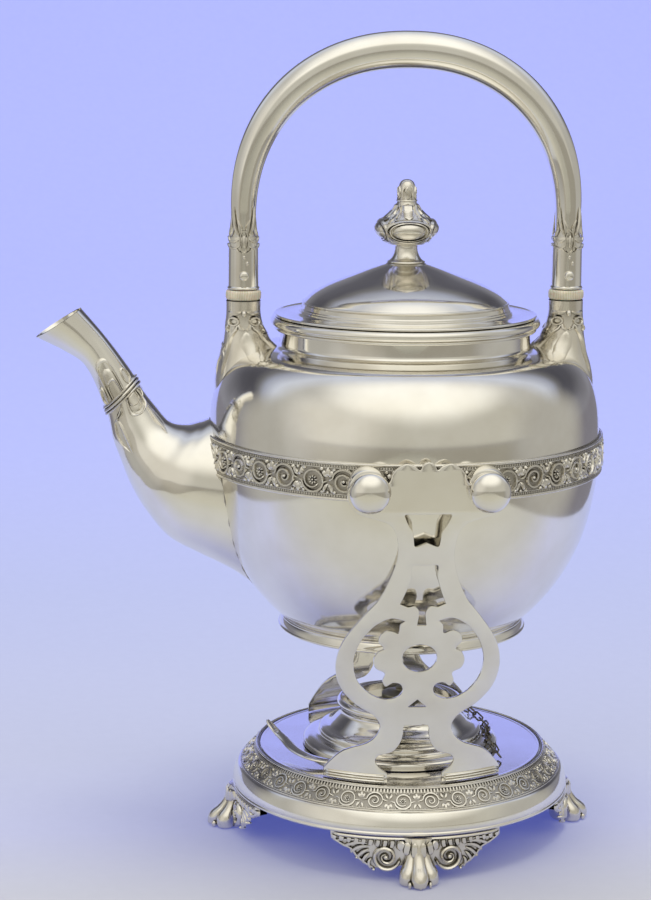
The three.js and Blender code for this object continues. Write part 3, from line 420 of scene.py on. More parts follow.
def ivory_material():
    """Turned ivory: creamy and waxy, with fine wavy growth lines and light gathering under the surface."""
    material, tree, place = new_material("turned_ivory")
    # Growth lines are about 0.5 mm apart.
    lines = add_node(tree, "TexWave", {"Scale": 1 / (3.2 * MM), "Distortion": 5, "Detail": 3,
                                       "bands_direction": "X", "Vector": place})
    patches = noise(tree, place, 4 * MM, 3)
    aged = mix(tree, "MULTIPLY", 0.5, ramp(tree, lines, [(0.2, "#E6DCC4"), (0.8, "#F1EBDA")]), patches)
    rough = span(tree, patches, 0, 1, (0.25, 0.42))
    grain = bump(tree, lines, 0.1, 0.02 * MM)
    finished(tree, add_node(tree, "BsdfPrincipled", {
        "IOR": 1.54, "Subsurface Weight": 0.2, "Subsurface Scale": 0.8 * MM, "Base Color": aged,
        "Roughness": rough, "Normal": grain}))
    return material


def cotton_material():
    """Plaited cotton wick: dull off-white yarn, charred at the top, with the plait's rows across it."""
    material, tree, place = new_material("plaited_cotton")
    # Plait rows are 0.9 mm apart.
    rows = add_node(tree, "TexWave", {"Scale": 1 / (5.6 * MM), "Distortion": 2,
                                      "bands_direction": "DIAGONAL", "Vector": place})
    fluff = noise(tree, place, 0.4 * MM, 4)
    yarn = ramp(tree, rows, [(0.2, "#8F8570"), (0.8, "#DDD5C0")])
    height = add_node(tree, "SeparateXYZ", {"Vector": place}, "Z")
    burnt = span(tree, height, high("wick").z - 2.5 * MM, high("wick").z)
    colour = mix(tree, "MIX", burnt, yarn, linear("#2B2622"))
    fuzz = bump(tree, fluff, 0.4, 0.05 * MM, Normal=bump(tree, rows, 0.7, 0.2 * MM))
    finished(tree, add_node(tree, "BsdfPrincipled", {"Roughness": 0.95, "Sheen Weight": 0.3,
                                                     "Base Color": colour, "Normal": fuzz}))
    return material


POLISHED = silver("sterling_silver_polished", "#F1EFE9", "#E5E1D8", 0.08)
CAST = silver("sterling_silver_cast", "#EDEAE2", "#D6D0C4", 0.17, recess=2.2 * MM)
CHASED = silver("sterling_silver_chased", "#EBE8E0", "#D3CEC3", 0.2, recess=1.2 * MM)
OXIDISED = silver("oxidised_silver", "#B6B2AA", "#97938B", 0.32, wear=0.12, recess=1.5 * MM)
BURNT = silver("heat_stained_silver", "#A7A391", "#7C7762", 0.3, wear=0.15)
TARNISHED = silver("tarnished_silver", "#8A857C", "#5E594F", 0.28, wear=0.15)
IVORY = ivory_material()
COTTON = cotton_material()


# Camera, stage and light

def make_camera():
    forward = Vector((sin(CAMERA_BEARING) * cos(CAMERA_PITCH), cos(CAMERA_BEARING) * cos(CAMERA_PITCH),
                      -sin(CAMERA_PITCH)))
    right = Vector((cos(CAMERA_BEARING), -sin(CAMERA_BEARING), 0))
    down = forward.cross(right)
    rolled_right = right * cos(CAMERA_ROLL) + down * sin(CAMERA_ROLL)
    rolled_down = down * cos(CAMERA_ROLL) - right * sin(CAMERA_ROLL)
    data = bpy.data.cameras.new("camera")
    data.lens = CAMERA_FOCAL
    data.sensor_width = SENSOR_SIZE
    camera = bpy.data.objects.new("camera", data)
    turn = Matrix((rolled_right, -rolled_down, -forward)).transposed()
    camera.matrix_world = Matrix.Translation(CAMERA_PLACE) @ turn.to_4x4()
    bpy.context.scene.collection.objects.link(camera)
    bpy.context.scene.camera = camera


FLOOR_FRONT = -4.0
FLOOR_HALF_WIDTH = 0.44
SWEEP_START = 0.3
SWEEP_RADIUS = 1.2
SWEEP_DEGREES = 54


def paper_material():
    """Studio paper sweep: matt and faintly fibrous, cream near the viewer and lilac blue further back, with
    a painted blue glow in its shade.
    """
    material, tree, place = new_material("studio_paper")
    depth, height = [add_node(tree, "SeparateXYZ", {"Vector": place}, axis) for axis in "YZ"]
    # Depth and height together give the way along the sweep.
    reach = span(tree, add_node(tree, "Math", {"operation": "ADD", 0: depth, 1: height}), -0.5, 2.5)
    tone = ramp(tree, reach, [(0, "#BAB8AC"), (0.1, "#B8B8AE"), (0.14, "#B4B5AE"), (0.2, "#B0B3B7"),
                              (0.3, "#A4AAC4"), (0.5, "#979DDA"), (1, "#949ADA")])
    painted_shade_glow = ramp(tree, reach, [(0.04, "#000000"), (0.12, "#1C2050"), (0.165, "#3A4494"), (0.2, "#3C4484"),
                                (0.3, "#444A78"), (0.6, "#4A518E")])
    flecked = mix(tree, "SOFT_LIGHT", 0.05, tone, noise(tree, place, 6 * MM, 5))
    # Painted light: the paper glows blue from in front of the object backwards, brightest right under it
    # where its shadow falls, so that the shade there shows blue.
    finished(tree, add_node(tree, "BsdfPrincipled", {
        "Roughness": 0.9, "Specular IOR Level": 0.15, "Emission Strength": 1, "Base Color": flecked,
        "Emission Color": painted_shade_glow}))
    return material


def make_stage():
    """One narrow roll of paper: the floor, and what it sweeps up into at the back."""
    bm = bmesh.new()
    bend = [(SWEEP_START + SWEEP_RADIUS * sin(radians(a)), SWEEP_RADIUS * (1 - cos(radians(a))))
            for a in range(0, SWEEP_DEGREES + 1, 6)]
    line = [(FLOOR_FRONT, 0)] + bend
    verts = [bm.verts.new((-FLOOR_HALF_WIDTH, y, z)) for y, z in line]
    edges = [bm.edges.new(pair) for pair in zip(verts, verts[1:])]
    made = bmesh.ops.extrude_edge_only(bm, edges=edges)["geom"]
    bmesh.ops.translate(bm, verts=[v for v in made if isinstance(v, bmesh.types.BMVert)],
                        vec=(2 * FLOOR_HALF_WIDTH, 0, 0))
    mesh = as_mesh(bm, "paper_sweep")
    mesh.shade_smooth()
    mesh.materials.append(paper_material())
    sweep = bpy.data.objects.new("paper_sweep", mesh)
    bpy.context.scene.collection.objects.link(sweep)


def grey(value):
    return (value, value, value, 1)


def panel(tree, way, aim, inner, outer, colour, around):
    """A soft round patch of the tent, seen in one direction: full within inner degrees and gone at outer."""
    facing = add_node(tree, "VectorMath", {"operation": "DOT_PRODUCT", 0: way, 1: Vector(aim).normalized()},
                      "Value")
    fade = span(tree, facing, cos(radians(outer)), cos(radians(inner)), kind="SMOOTHSTEP")
    return mix(tree, "MIX", fade, around, colour)


def make_world():
    """A soft tent. Its light depends on how far over the top a direction lies, from back to front."""
    world = bpy.data.worlds.new("tent")
    world.use_nodes = True
    tree = world.node_tree
    tree.nodes.clear()
    way = add_node(tree, "TexCoord", {}, "Generated")
    across, depth, height = [add_node(tree, "SeparateXYZ", {"Vector": way}, axis) for axis in "XYZ"]
    over = add_node(tree, "Math", {"operation": "ARCTAN2", 0: height, 1: depth})
    # Past the paper the studio is dark, and the tent's cloth starts high over it.
    tent = ramp(tree, span(tree, over, 0, pi), [
        (0, "#8E8E98"), (0.08, "#84848E"), (0.15, "#64646E"), (0.22, "#5C5C66"), (0.26, "#7A7A7E"),
        (0.3, "#A8ADC0"), (0.38, "#D8DEEE"), (0.5, "#C8C7C4"), (0.75, "#C6C3B8"), (1, "#C8C5BA")])
    # Below the horizon the floor is warm in front of the paper and dark behind it.
    level = ramp(tree, span(tree, depth, -1, 1), [(0.2, "#A29E92"), (0.6, "#84828C")])
    tent = mix(tree, "MIX", span(tree, height, 0.02, -0.02), tent, level)
    # The cloth at both sides hides where front and back meet.
    aside = add_node(tree, "Math", {"operation": "ABSOLUTE", 0: across})
    tent = mix(tree, "MIX", span(tree, aside, 0.8, 0.98, kind="SMOOTHSTEP"), tent, linear("#B8B6B0"))
    # Black flags stand on both sides behind, and soft panels hang over the front and at the left.
    for aim in ((-0.62, 0.68, 0.36), (0.62, 0.68, 0.36)):
        tent = mix(tree, "MULTIPLY", 1, tent, panel(tree, way, aim, 6, 22, grey(0.75), grey(1)))
    for aim, inner, outer, colour in (((0.05, -0.45, 0.85), 16, 50, (0.62, 0.61, 0.57, 1)),
                                      ((-0.75, -0.6, 0.3), 8, 40, (0.2, 0.19, 0.18, 1))):
        tent = mix(tree, "ADD", 1, tent, panel(tree, way, aim, inner, outer, colour, grey(0)))
    # The camera sees plain pale blue past the edges of the paper.
    backdrop = add_node(tree, "LightPath", {}, "Is Camera Ray")
    tent = mix(tree, "MIX", backdrop, tent, linear("#B4B8F4"))
    finished(tree, add_node(tree, "Background", {"Strength": 1, "Color": tent}), "World")
    bpy.context.scene.world = world


def add_lamp(name, place, aim, size, power, colour):
    """A wide soft lamp that lights the paper. The metal mirrors the tent's panels instead of it."""
    data = bpy.data.lights.new(name, "AREA")
    data.shape = "RECTANGLE"
    data.size, data.size_y = size
    data.energy = power
    data.color = linear(colour)[:3]
    lamp = bpy.data.objects.new(name, data)
    turn = (Vector(aim) - Vector(place)).to_track_quat("-Z", "Y").to_matrix().to_4x4()
    lamp.matrix_world = Matrix.Translation(place) @ turn
    lamp.visible_glossy = False
    bpy.context.scene.collection.objects.link(lamp)


def make_light():
    aim = (AXIS_X, 0, 0.15)
    add_lamp("left_softbox", (-1.5, -1.0, 1.3), aim, (1.2, 1.2), 8, "#FFF8EC")
    add_lamp("right_softbox", (1.6, -0.7, 1.0), aim, (0.9, 1.2), 5, "#FFF8EE")
    add_lamp("top_softbox", (0.1, 0.1, 1.9), aim, (1.2, 1.0), 18, "#FFFFFF")
    bpy.context.scene.view_settings.view_transform = "Standard"


# Base: plate, ornamental band, swelling collar

def make_base_plate():
    wire = 0.7 * MM
    foot = low("base_plate").z
    edge = half_round(PLATE_RADIUS - wire / 2, wire, PLATE_TOP - wire / 2, wire / 2)
    outline = [(0, foot), (PLATE_RADIUS - wire / 2, foot)] + edge[1:]
    flat = PLATE_TOP - 0.15 * MM
    outline += [(PLATE_RADIUS - (2 + i / 2) * wire, flat) for i in range(4)] + [(0, flat)]
    piece("base_plate_top", turned(bmesh.new(), outline), "stand", [POLISHED], ["base_plate"])


# The collar's face: how far past the band and how far up
COLLAR_SHARES = [(0.1, 1), (0.3, 0.96), (0.5, 0.84), (0.75, 0.62), (0.9, 0.4), (0.93, 0.24), (0.88, 0.17)]


def make_base_rim():
    top, bottom = high("base_rim").z, low("base_rim").z
    outer = radius_of("base_rim")
    ledge, wall, bead = 7.7 * MM, 2.2 * MM, 0.75 * MM
    spread = outer - radius_of("base_band")
    face = [(outer - spread + out * spread, bottom + up * (top - bottom)) for out, up in COLLAR_SHARES]
    outline = [(outer - spread - wall / 2, top - wall), (outer - ledge, top - wall), (outer - ledge, top)]
    outline += smooth(face, 5)
    outline += half_round(outer - bead, 2 * bead, bottom + bead, bead, 60, -90, 10)
    outline += [(outer - wall, bottom)]
    piece("base_collar", turned(bmesh.new(), outline), "stand", [POLISHED], ["base_rim"])


SCROLL_WIRE = 0.27
SCROLL_PROUD = 0.26
PETALS = 8


def scroll_motif(pitch, reach, zone):
    """One repeat of the running scroll: a stem that waves round two spirals, and what grows off it.

    The first spiral holds a rosette, the second winds in to a bud. Flat, from x = 0, in metres."""
    bm = bmesh.new()
    wire, proud = SCROLL_WIRE * reach, SCROLL_PROUD * reach
    for rosette, flip in ((True, 1), (False, -1)):
        centre = (0.5 if rosette else 1.5) * pitch
        crossing = centre + 0.5 * pitch
        stem = [(centre - 0.5 * pitch - 0.02 * reach, 0)]
        stem += [(centre + reach * cos(radians(a)), reach * sin(radians(a))) for a in range(190, 351, 20)]
        stem += [(crossing + 0.02 * reach, 0)]
        stroke(bm, smooth(flipped(stem, 1, flip), 2), 1.15 * wire, proud, (0.6, 1, 1, 1, 0.6), around=6)
        inner, turns, steps = (0.55, 1, 18) if rosette else (0.1, 1.75, 26)
        coil = spiral(0, 0, inner * reach, 0.98 * reach, radians(330) + turns * TURN, -turns, steps)
        coil = [Vector((centre + p.x, p.y * flip)) for p in coil]
        stroke(bm, coil, wire, proud, (0.6, 0.9, 1, 1, 0.8), around=6)
        if rosette:
            for petal in range(PETALS):
                away = Vector((cos(TURN * petal / PETALS), sin(TURN * petal / PETALS)))
                middle = Vector((centre, 0))
                stroke(bm, [middle + away * 0.1 * reach, middle + away * 0.46 * reach], 0.26 * reach,
                       0.8 * proud, (0.3, 0.8, 1, 0.4), around=6, steps=4)
            boss(bm, centre, 0, 0.11 * reach, 0.11 * reach, 1.1 * proud, 8)
        else:
            boss(bm, centre, 0, 0.17 * reach, 0.17 * reach, 1.2 * proud, 8)
        # Leaves off the stem where it crosses over: a spray of three outwards, and a pair inwards.
        root = Vector((crossing, 0.3 * reach * flip))
        for across, up in ((0, 0.66), (0.4, 0.42), (-0.4, 0.42)):
            tip = root + Vector((across * reach, (up * zone / 2 + 0.14 * reach) * flip))
            bend = (root + tip) / 2 + Vector((across * 0.3 * reach, 0))
            stroke(bm, smooth([root, bend, tip], 3), 0.56 * reach, proud, (0.4, 1, 0.9, 0.3), 0.3, 6)
        root = Vector((crossing, -0.25 * reach * flip))
        for across in (-0.4, 0.4):
            tip = root + Vector((across * reach, -0.8 * reach * flip))
            bend = root.lerp(tip, 0.5) + Vector((across * 0.2 * reach, 0.05 * reach * flip))
            stroke(bm, smooth([root, bend, tip], 3), 0.46 * reach, proud, (0.4, 1, 0.9, 0.3), 0.3, 6)
        boss(bm, crossing, -0.98 * reach * flip, 0.16 * reach, 0.16 * reach, proud, 6)
        for across, up in ((0.66, 0.82), (-0.66, 0.82), (0.7, -0.78), (-0.7, -0.78)):
            start = Vector((centre + across * reach, up * reach * flip))
            tip = start + Vector((across * 0.42 * reach, up * 0.36 * reach * flip))
            stroke(bm, [start, tip], 0.42 * reach, 0.9 * proud, (0.3, 1, 0.3), around=6, steps=4)
    return as_mesh(bm)


def dentil_motif(pitch, count, low_edge, high_edge, proud, slant=0):
    """A row of small upright blocks over one repeat, flat. Each block's foot reaches down by the slant."""
    bm = bmesh.new()
    wide, tall, middle = 0.55 * pitch / count, high_edge - low_edge, (low_edge + high_edge) / 2
    for i in range(count):
        for vert in bmesh.ops.create_cube(bm, size=1)["verts"]:
            x, y, z = vert.co
            taper = 0.8 if z > 0 else 1
            down = slant if z < 0 and y < 0 else 0
            vert.co = Vector(((i + 0.5) * pitch / count + x * taper * wide, middle + y * taper * tall - down,
                              (z + 0.2) * proud))
    return as_mesh(bm)


def ring_wire(bm, radius, height, thick, steps=10):
    """A round wire laid as a ring about the stand's axis."""
    return turned(bm, [(radius + thick * cos(TURN * i / steps), height + thick * sin(TURN * i / steps))
                       for i in range(steps)])


BAND_INNER_RADIUS = 61.6 * MM
BAND_TOP_RADIUS = 62.7 * MM
BAND_FOOT_RADIUS = radius_of("base_band")
BAND_FOOT = low("base_band").z


def band_place(along, up, out):
    """A point of the sloped band: the way round in radians, the share up its slope, and how proud."""
    radius = BAND_FOOT_RADIUS + (BAND_TOP_RADIUS - BAND_FOOT_RADIUS) * up
    height = BAND_FOOT + (PLATE_TOP - BAND_FOOT) * up
    slope = atan2(BAND_FOOT_RADIUS - BAND_TOP_RADIUS, PLATE_TOP - BAND_FOOT)
    radius += out * cos(slope)
    height += out * sin(slope)
    return Vector((radius * cos(along), radius * sin(along), height))


BASE_REPEATS = 18
BAND_RECESS = 0.5 * MM


def make_base_band():
    ground = [(BAND_INNER_RADIUS, PLATE_TOP), (BAND_TOP_RADIUS - 0.5 * MM, PLATE_TOP - 0.1 * MM),
              (BAND_FOOT_RADIUS - 0.6 * MM, BAND_FOOT + 0.4 * MM), (BAND_FOOT_RADIUS - 0.6 * MM, BAND_FOOT),
              (BAND_FOOT_RADIUS - 3 * MM, BAND_FOOT), (BAND_INNER_RADIUS, PLATE_TOP - 2.5 * MM)]
    bm = turned(bmesh.new(), ground)
    for face in bm.faces:
        face.material_index = 1
    slope = sqrt((BAND_FOOT_RADIUS - BAND_TOP_RADIUS) ** 2 + (PLATE_TOP - BAND_FOOT) ** 2)
    repeat = TURN / BASE_REPEATS
    middle_radius = (BAND_FOOT_RADIUS + BAND_TOP_RADIUS) / 2
    pitch = repeat * middle_radius / 2
    scroll = scroll_motif(pitch, 0.335 * slope, 0.76 * slope)
    dentils = dentil_motif(2 * pitch, 16, 0.4 * slope, 0.56 * slope, 0.5 * MM, 0.09 * slope)
    for index in range(BASE_REPEATS):

        def place(co):
            return band_place(index * repeat + co.x / middle_radius, 0.42 + co.y / slope, co.z - BAND_RECESS)

        joined(bm, scroll, place)
        joined(bm, dentils, place)
    for up, thick, out in ((0.985, 0.45, -0.1), (0.8, 0.22, -0.45), (0.06, 0.32, -0.25), (-0.01, 0.4, -0.2)):
        spot = band_place(0, up, out * MM)
        ring_wire(bm, spot.x, spot.z, thick * MM)
    piece("base_band_ornament", bm, "stand", [CHASED, OXIDISED], ["base_band"])


# Kettle body, foot ring, belt, mouth rim and lid

BELLY_SHARES = [
    (0, 0), (0.3, 0), (0.52, 0.001), (0.58, 0.008), (0.622, 0.03), (0.7, 0.08), (0.79, 0.155),
    (0.865, 0.238), (0.925, 0.33), (0.968, 0.435), (0.991, 0.535), (1, 0.635), (0.998, 0.736),
    (0.982, 0.819), (0.95, 0.886), (0.898, 0.94), (0.82, 0.978), (0.72, 0.995), (0.66, 1.0),
]


def belly_outline():
    belly = smooth(scaled(BELLY_SHARES, BELLY_RADIUS, BELLY_BOTTOM, SHOULDER_TOP - BELLY_BOTTOM), 5)
    hollow = 2.2 * MM
    neck = [(NECK_RADIUS + hollow * (1 - sin(radians(a))), SHOULDER_TOP + hollow * (1 - cos(radians(a))))
            for a in range(15, 91, 15)]
    return belly[:-1] + [Vector(p) for p in neck] + [Vector((NECK_RADIUS, NECK_TOP))]


BELLY_OUTLINE = belly_outline()


def belly_radius_at(height):
    """The outside radius of the belly at a height, read along its outline."""
    for lower, upper in zip(BELLY_OUTLINE, BELLY_OUTLINE[1:]):
        if lower[1] <= height < upper[1]:
            share = (height - lower[1]) / (upper[1] - lower[1])
            return lower[0] + (upper[0] - lower[0]) * share
    return NECK_RADIUS


def make_body():
    bm = turned(bmesh.new(), walled(BELLY_OUTLINE, BODY_WALL), 192)
    piece("kettle_shell", bm, "kettle", [POLISHED], ["kettle_body"], sharp=60)

    outer, foot, top = radius_of("kettle_foot"), low("kettle_foot").z, high("kettle_foot").z
    wall = 4.4 * MM
    bead = 0.55 * MM
    ring = [(outer - wall, foot + 2.2 * bead), (outer - wall + 2 * bead, foot)]
    ring += half_round(outer - bead, 2 * bead, foot + bead, bead, -90, 80, 8)
    ring += smooth([(outer - 0.5 * MM, foot + 2.1 * bead), (outer - 0.75 * MM, foot + 2.4 * MM),
                    (outer - 1.3 * MM, top - 2 * bead)], 3)
    ring += half_round(outer - 1.9 * MM, 2 * bead, top - bead, bead, -40, 110, 8)
    piece("kettle_foot_ring", turned(bmesh.new(), ring), "kettle", [POLISHED], ["kettle_foot"])


BELT_REPEATS = 20


def make_belt():
    """The applied band: a running scroll on a darkened ground between dentils and round wires."""
    bottom, top = low("belly_band").z, high("belly_band").z
    height = top - bottom
    middle = (top + bottom) / 2
    face = BELLY_RADIUS + 1 * MM
    inside = BELLY_RADIUS - 1.9 * MM
    bead = height * 0.036
    bm = turned(bmesh.new(), [(inside, bottom + bead), (face, bottom + bead), (face, top - bead),
                              (inside, top - bead)])
    for made in bm.faces:
        made.material_index = 1
    repeat = TURN / BELT_REPEATS
    pitch = repeat * face / 2
    meshes = [scroll_motif(pitch, 0.31 * height, 0.66 * height)]
    for low_edge in (0.35 * height, -0.42 * height):
        meshes.append(dentil_motif(2 * pitch, 24, low_edge, low_edge + 0.07 * height, 0.3 * MM))
    for index in range(BELT_REPEATS):

        def place(co):
            angle = index * repeat + co.x / face
            radius = face + co.z
            return Vector((radius * cos(angle), radius * sin(angle), middle + co.y))

        for mesh in meshes:
            joined(bm, mesh, place)
    for share, thick in ((0.34, 0.18), (0.435, 0.22), (0.465, 0.5)):
        for side in (-1, 1):
            ring_wire(bm, face + 0.1 * MM, middle + side * share * height, thick * MM)
    piece("belly_belt", bm, "kettle", [CHASED, OXIDISED], ["belly_band"])


def make_mouth_rim():
    outer, foot, top = radius_of("mouth_rim"), low("mouth_rim").z, high("mouth_rim").z
    inner = 50.3 * MM
    bead = 0.7 * MM
    roll = (top - foot) / 2 - bead
    outline = [(inner, top), (inner, foot), (NECK_RADIUS + 1.2 * MM, foot)]
    outline += half_round(outer - 2.2 * MM, 2 * bead, foot + bead, bead, -90, 90, 6)
    outline += half_round(outer - roll, 2 * roll, foot + 2 * bead + roll, roll, -80, 90, 16)
    piece("mouth_rim_roll", turned(bmesh.new(), outline), "kettle", [POLISHED], ["mouth_rim"])


# The lid's dome and the moulded step that it rises from, in shares of the lid's radius and rise
DOME_SHARES = [
    (0.775, 0.262), (0.71, 0.393), (0.63, 0.505), (0.545, 0.598), (0.387, 0.735), (0.245, 0.859),
    (0.13, 0.945), (0.05, 0.985), (0, 1),
]
STEP_SHARES = [
    (0.815, 0.05), (0.808, 0.06), (0.808, 0.09), (0.798, 0.098), (0.798, 0.125), (0.79, 0.135),
    (0.788, 0.205),
]
STEP_TOP = 0.788


def make_lid():
    outer, apex = radius_of("lid"), high("lid").z
    bottom = 224.6 * MM
    height = apex - bottom
    wall, bead = 1.4 * MM, 0.55 * MM
    flange = bottom + 1.2 * MM
    top = half_round(outer - bead, 2 * bead, bottom + bead, bead, -90, 100, 10)
    top += smooth([(outer - 1.5 * MM, flange - 0.35 * MM), (outer - 5 * MM, flange - 0.6 * MM),
                   (0.83 * outer, flange - 0.35 * MM)], 4)
    top += rounded(scaled(STEP_SHARES, outer, bottom, height), 0.2 * MM, 2)
    dome = STEP_TOP * outer
    top += half_round(dome - bead, 2 * bead, bottom + 0.235 * height, bead, -70, 100, 10)
    top += smooth(scaled(DOME_SHARES, outer, bottom, height), 4)
    bezel, bezel_foot = 48.7 * MM, low("lid").z
    narrow = 1 - wall / dome
    under = [(r * narrow, z - wall) for r, z in scaled(DOME_SHARES[::-1], outer, bottom, height)]
    under += [(dome - wall, bottom), (bezel - wall, bottom), (bezel - wall, bezel_foot), (bezel, bezel_foot),
              (bezel, bottom)]
    outline = [Vector(p) for p in top + under]
    piece("lid_shell", turned(bmesh.new(), outline, 192), "lid", [POLISHED], ["lid"], sharp=35)


# Finial

# Outlines: the radius in shares of the finial's widest, and the height above its seat in shares of its own
FINIAL_FOOT_SHARES = [
    (0, -0.03), (0.3, -0.05), (0.6, -0.088), (0.635, -0.08), (0.645, -0.062), (0.62, -0.05),
    (0.58, -0.044), (0.6, -0.032), (0.585, -0.02), (0.53, -0.012),
]
FINIAL_SHARES = [
    (0.47, 0.01), (0.41, 0.05), (0.365, 0.1), (0.35, 0.15), (0.37, 0.182), (0.46, 0.197), (0.56, 0.2),
    (0.63, 0.21), (0.7, 0.24), (0.82, 0.29), (0.9, 0.345), (0.93, 0.4), (0.91, 0.45), (0.82, 0.495),
    (0.68, 0.53), (0.54, 0.575), (0.4, 0.635), (0.33, 0.69), (0.295, 0.735), (0.275, 0.78), (0.275, 0.86),
    (0.26, 0.91), (0.21, 0.96), (0.12, 0.99), (0, 1),
]
FINIAL_LOBES = 4


def make_finial():
    radius = radius_of("lid_finial")
    foot, top = low("lid_finial").z, high("lid_finial").z
    height = top - foot
    stem = smooth(scaled(FINIAL_SHARES, radius, foot, height), 3)
    bm = turned(bmesh.new(), scaled(FINIAL_FOOT_SHARES, radius, foot, height) + stem, 72)

    def surface(co, turn, level):
        """A flat point laid on the finial: x round it from the turn, y up it from the level."""
        up = level + co.y
        for lower, upper in zip(stem, stem[1:]):
            if lower[1] <= up <= upper[1]:
                share = (up - lower[1]) / max(upper[1] - lower[1], HAIR)
                around = lower[0] + (upper[0] - lower[0]) * share
                break
        else:
            around = 0
        angle = turn + co.x / max(around, 0.25 * radius)
        return Vector(((around + co.z) * cos(angle), (around + co.z) * sin(angle), up))

    # One repeat of the casting, flat, counted from the middle of a medallion
    motif = bmesh.new()

    def carved(shares, width, proud, swell):
        stroke(motif, smooth(scaled(shares, radius, 0, height), 4), width * radius, proud * radius, swell,
               around=6)

    for wide, tall, width, proud, steps in ((0.72, 0.14, 0.1, 0.09, 32), (0.6, 0.117, 0.06, 0.07, 28)):
        frame_line = oval(0, 0, wide * radius, tall * height, steps)
        stroke(motif, frame_line, width * radius, proud * radius, (1, 1), around=6)
    boss(motif, 0, 0, 0.54 * radius, 0.104 * height, 0.1 * radius, 24)
    carved([(0, 0.34), (0, 0.25), (0, 0.15)], 0.42, 0.075, (0.8, 1, 1, 0.95, 0.6))
    carved([(0, 0.55), (-0.06, 0.5), (0.07, 0.44), (-0.03, 0.39)], 0.12, 0.05, (0.3, 1, 1, 0.4))
    for side in (-1, 1):
        for shares, width, proud, swell in (
                ([(0.12, 0.38), (0.17, 0.47), (0.1, 0.56)], 0.1, 0.05, (0.6, 1, 0.4)),
                ([(0.24, 0.33), (0.27, 0.25), (0.4, 0.19), (0.62, 0.145), (0.72, 0.1)], 0.11, 0.07,
                 (0.6, 1, 1, 0.8, 0.3)),
                ([(0.25, 0.22), (0.33, 0.165), (0.42, 0.15), (0.43, 0.175), (0.37, 0.18)], 0.09, 0.07,
                 (0.5, 1, 1, 0.8)),
                ([(0.66, 0.08), (0.715, 0), (0.66, -0.09), (0.5, -0.15)], 0.12, 0.06, (0.4, 1, 1, 0.3))):
            carved([(side * x, y) for x, y in shares], width, proud, swell)
    motif = as_mesh(motif)
    for lobe in range(FINIAL_LOBES):
        turn = -pi / 2 + TURN * lobe / FINIAL_LOBES
        joined(bm, motif, lambda co: surface(co, turn, foot + 0.36 * height))
    for share, around, thick in ((0.735, 0.3, 0.035), (0.203, 0.56, 0.03)):
        ring_wire(bm, around * radius, foot + share * height, thick * radius, 8)
    piece("finial_casting", bm, "lid", [CAST], ["lid_finial"])


# Spout and its strap

SPOUT_REACH = AXIS_X - low("spout").x
SPOUT_FOOT = 106 * MM
SPOUT_RISE = high("spout").z - SPOUT_FOOT
SPOUT_HALF_WIDTH = (high("spout").y - low("spout").y) / 2
# Each station from the lip on: how far out and up the upper and the lower line lie, and the half width
SPOUT_SHARES = [
    (0.878, 1, 1, 0.9, 0.37), (0.836, 0.937, 0.923, 0.85, 0.3), (0.805, 0.888, 0.874, 0.807, 0.28),
    (0.741, 0.774, 0.822, 0.669, 0.33), (0.714, 0.715, 0.807, 0.612, 0.37),
    (0.68, 0.658, 0.797, 0.545, 0.43), (0.645, 0.606, 0.781, 0.488, 0.5), (0.6, 0.59, 0.75, 0.386, 0.66),
    (0.56, 0.6, 0.707, 0.29, 0.84), (0.52, 0.612, 0.642, 0.193, 0.96), (0.46, 0.6, 0.564, 0.138, 1),
    (0.39, 0.52, 0.48, 0.083, 0.92), (0.34, 0.4, 0.4, 0.01, 0.7),
]


def spout_place(stations, along, angle, out):
    """A point on the spout: the share of its length from the lip, the way round it, and how proud.

    Angle 0 is the upper line, and the angle grows towards the front."""
    upper_x, upper_z, lower_x, lower_z, wide = between(stations, along)
    upper = Vector((-upper_x * SPOUT_REACH, 0, SPOUT_FOOT + upper_z * SPOUT_RISE))
    lower = Vector((-lower_x * SPOUT_REACH, 0, SPOUT_FOOT + lower_z * SPOUT_RISE))
    middle = (upper + lower) / 2
    half = (upper - lower) / 2
    tall = half.length + out
    across = wide * SPOUT_HALF_WIDTH + out
    return middle + half.normalized() * tall * cos(angle) + Vector((0, -across * sin(angle), 0))


def spout_seam(stations, around=72, along=80):
    """The route of the soldered seam, where the spout's root goes into the belly."""
    route = []
    for turn in range(around):
        for step in range(along, 2 * along):
            spot = spout_place(stations, step / (2 * along), TURN * turn / around, 0)
            if sqrt(spot.x ** 2 + spot.y ** 2) < belly_radius_at(spot.z):
                break
        route.append(spot)
    return route


def make_spout():
    stations = smooth(SPOUT_SHARES, 8)
    wall = 1.5 * MM
    around, along = 96, 110

    def outside(u, v):
        return spout_place(stations, v, u * TURN, 0)

    def inside(u, v):
        return spout_place(stations, v, -u * TURN, -wall)

    bm = bmesh.new()
    wrapped(bm, around, along, outside)
    wrapped(bm, around, along, inside)
    faces = len(bm.faces)
    seam = spout_seam(stations)
    joined(bm, curve_mesh([seam], dimensions="3D", bevel_depth=0.45 * MM, bevel_resolution=1))
    bm.faces.ensure_lookup_table()
    for face in bm.faces[faces:]:
        face.material_index = 1
    piece("spout_tube", bm, "kettle", [POLISHED, OXIDISED], ["spout"], sharp=50)


STRAP_ALONG = 0.285
STRAP_LENGTH = 135 * MM
STRAP_RADIUS = 8.9 * MM
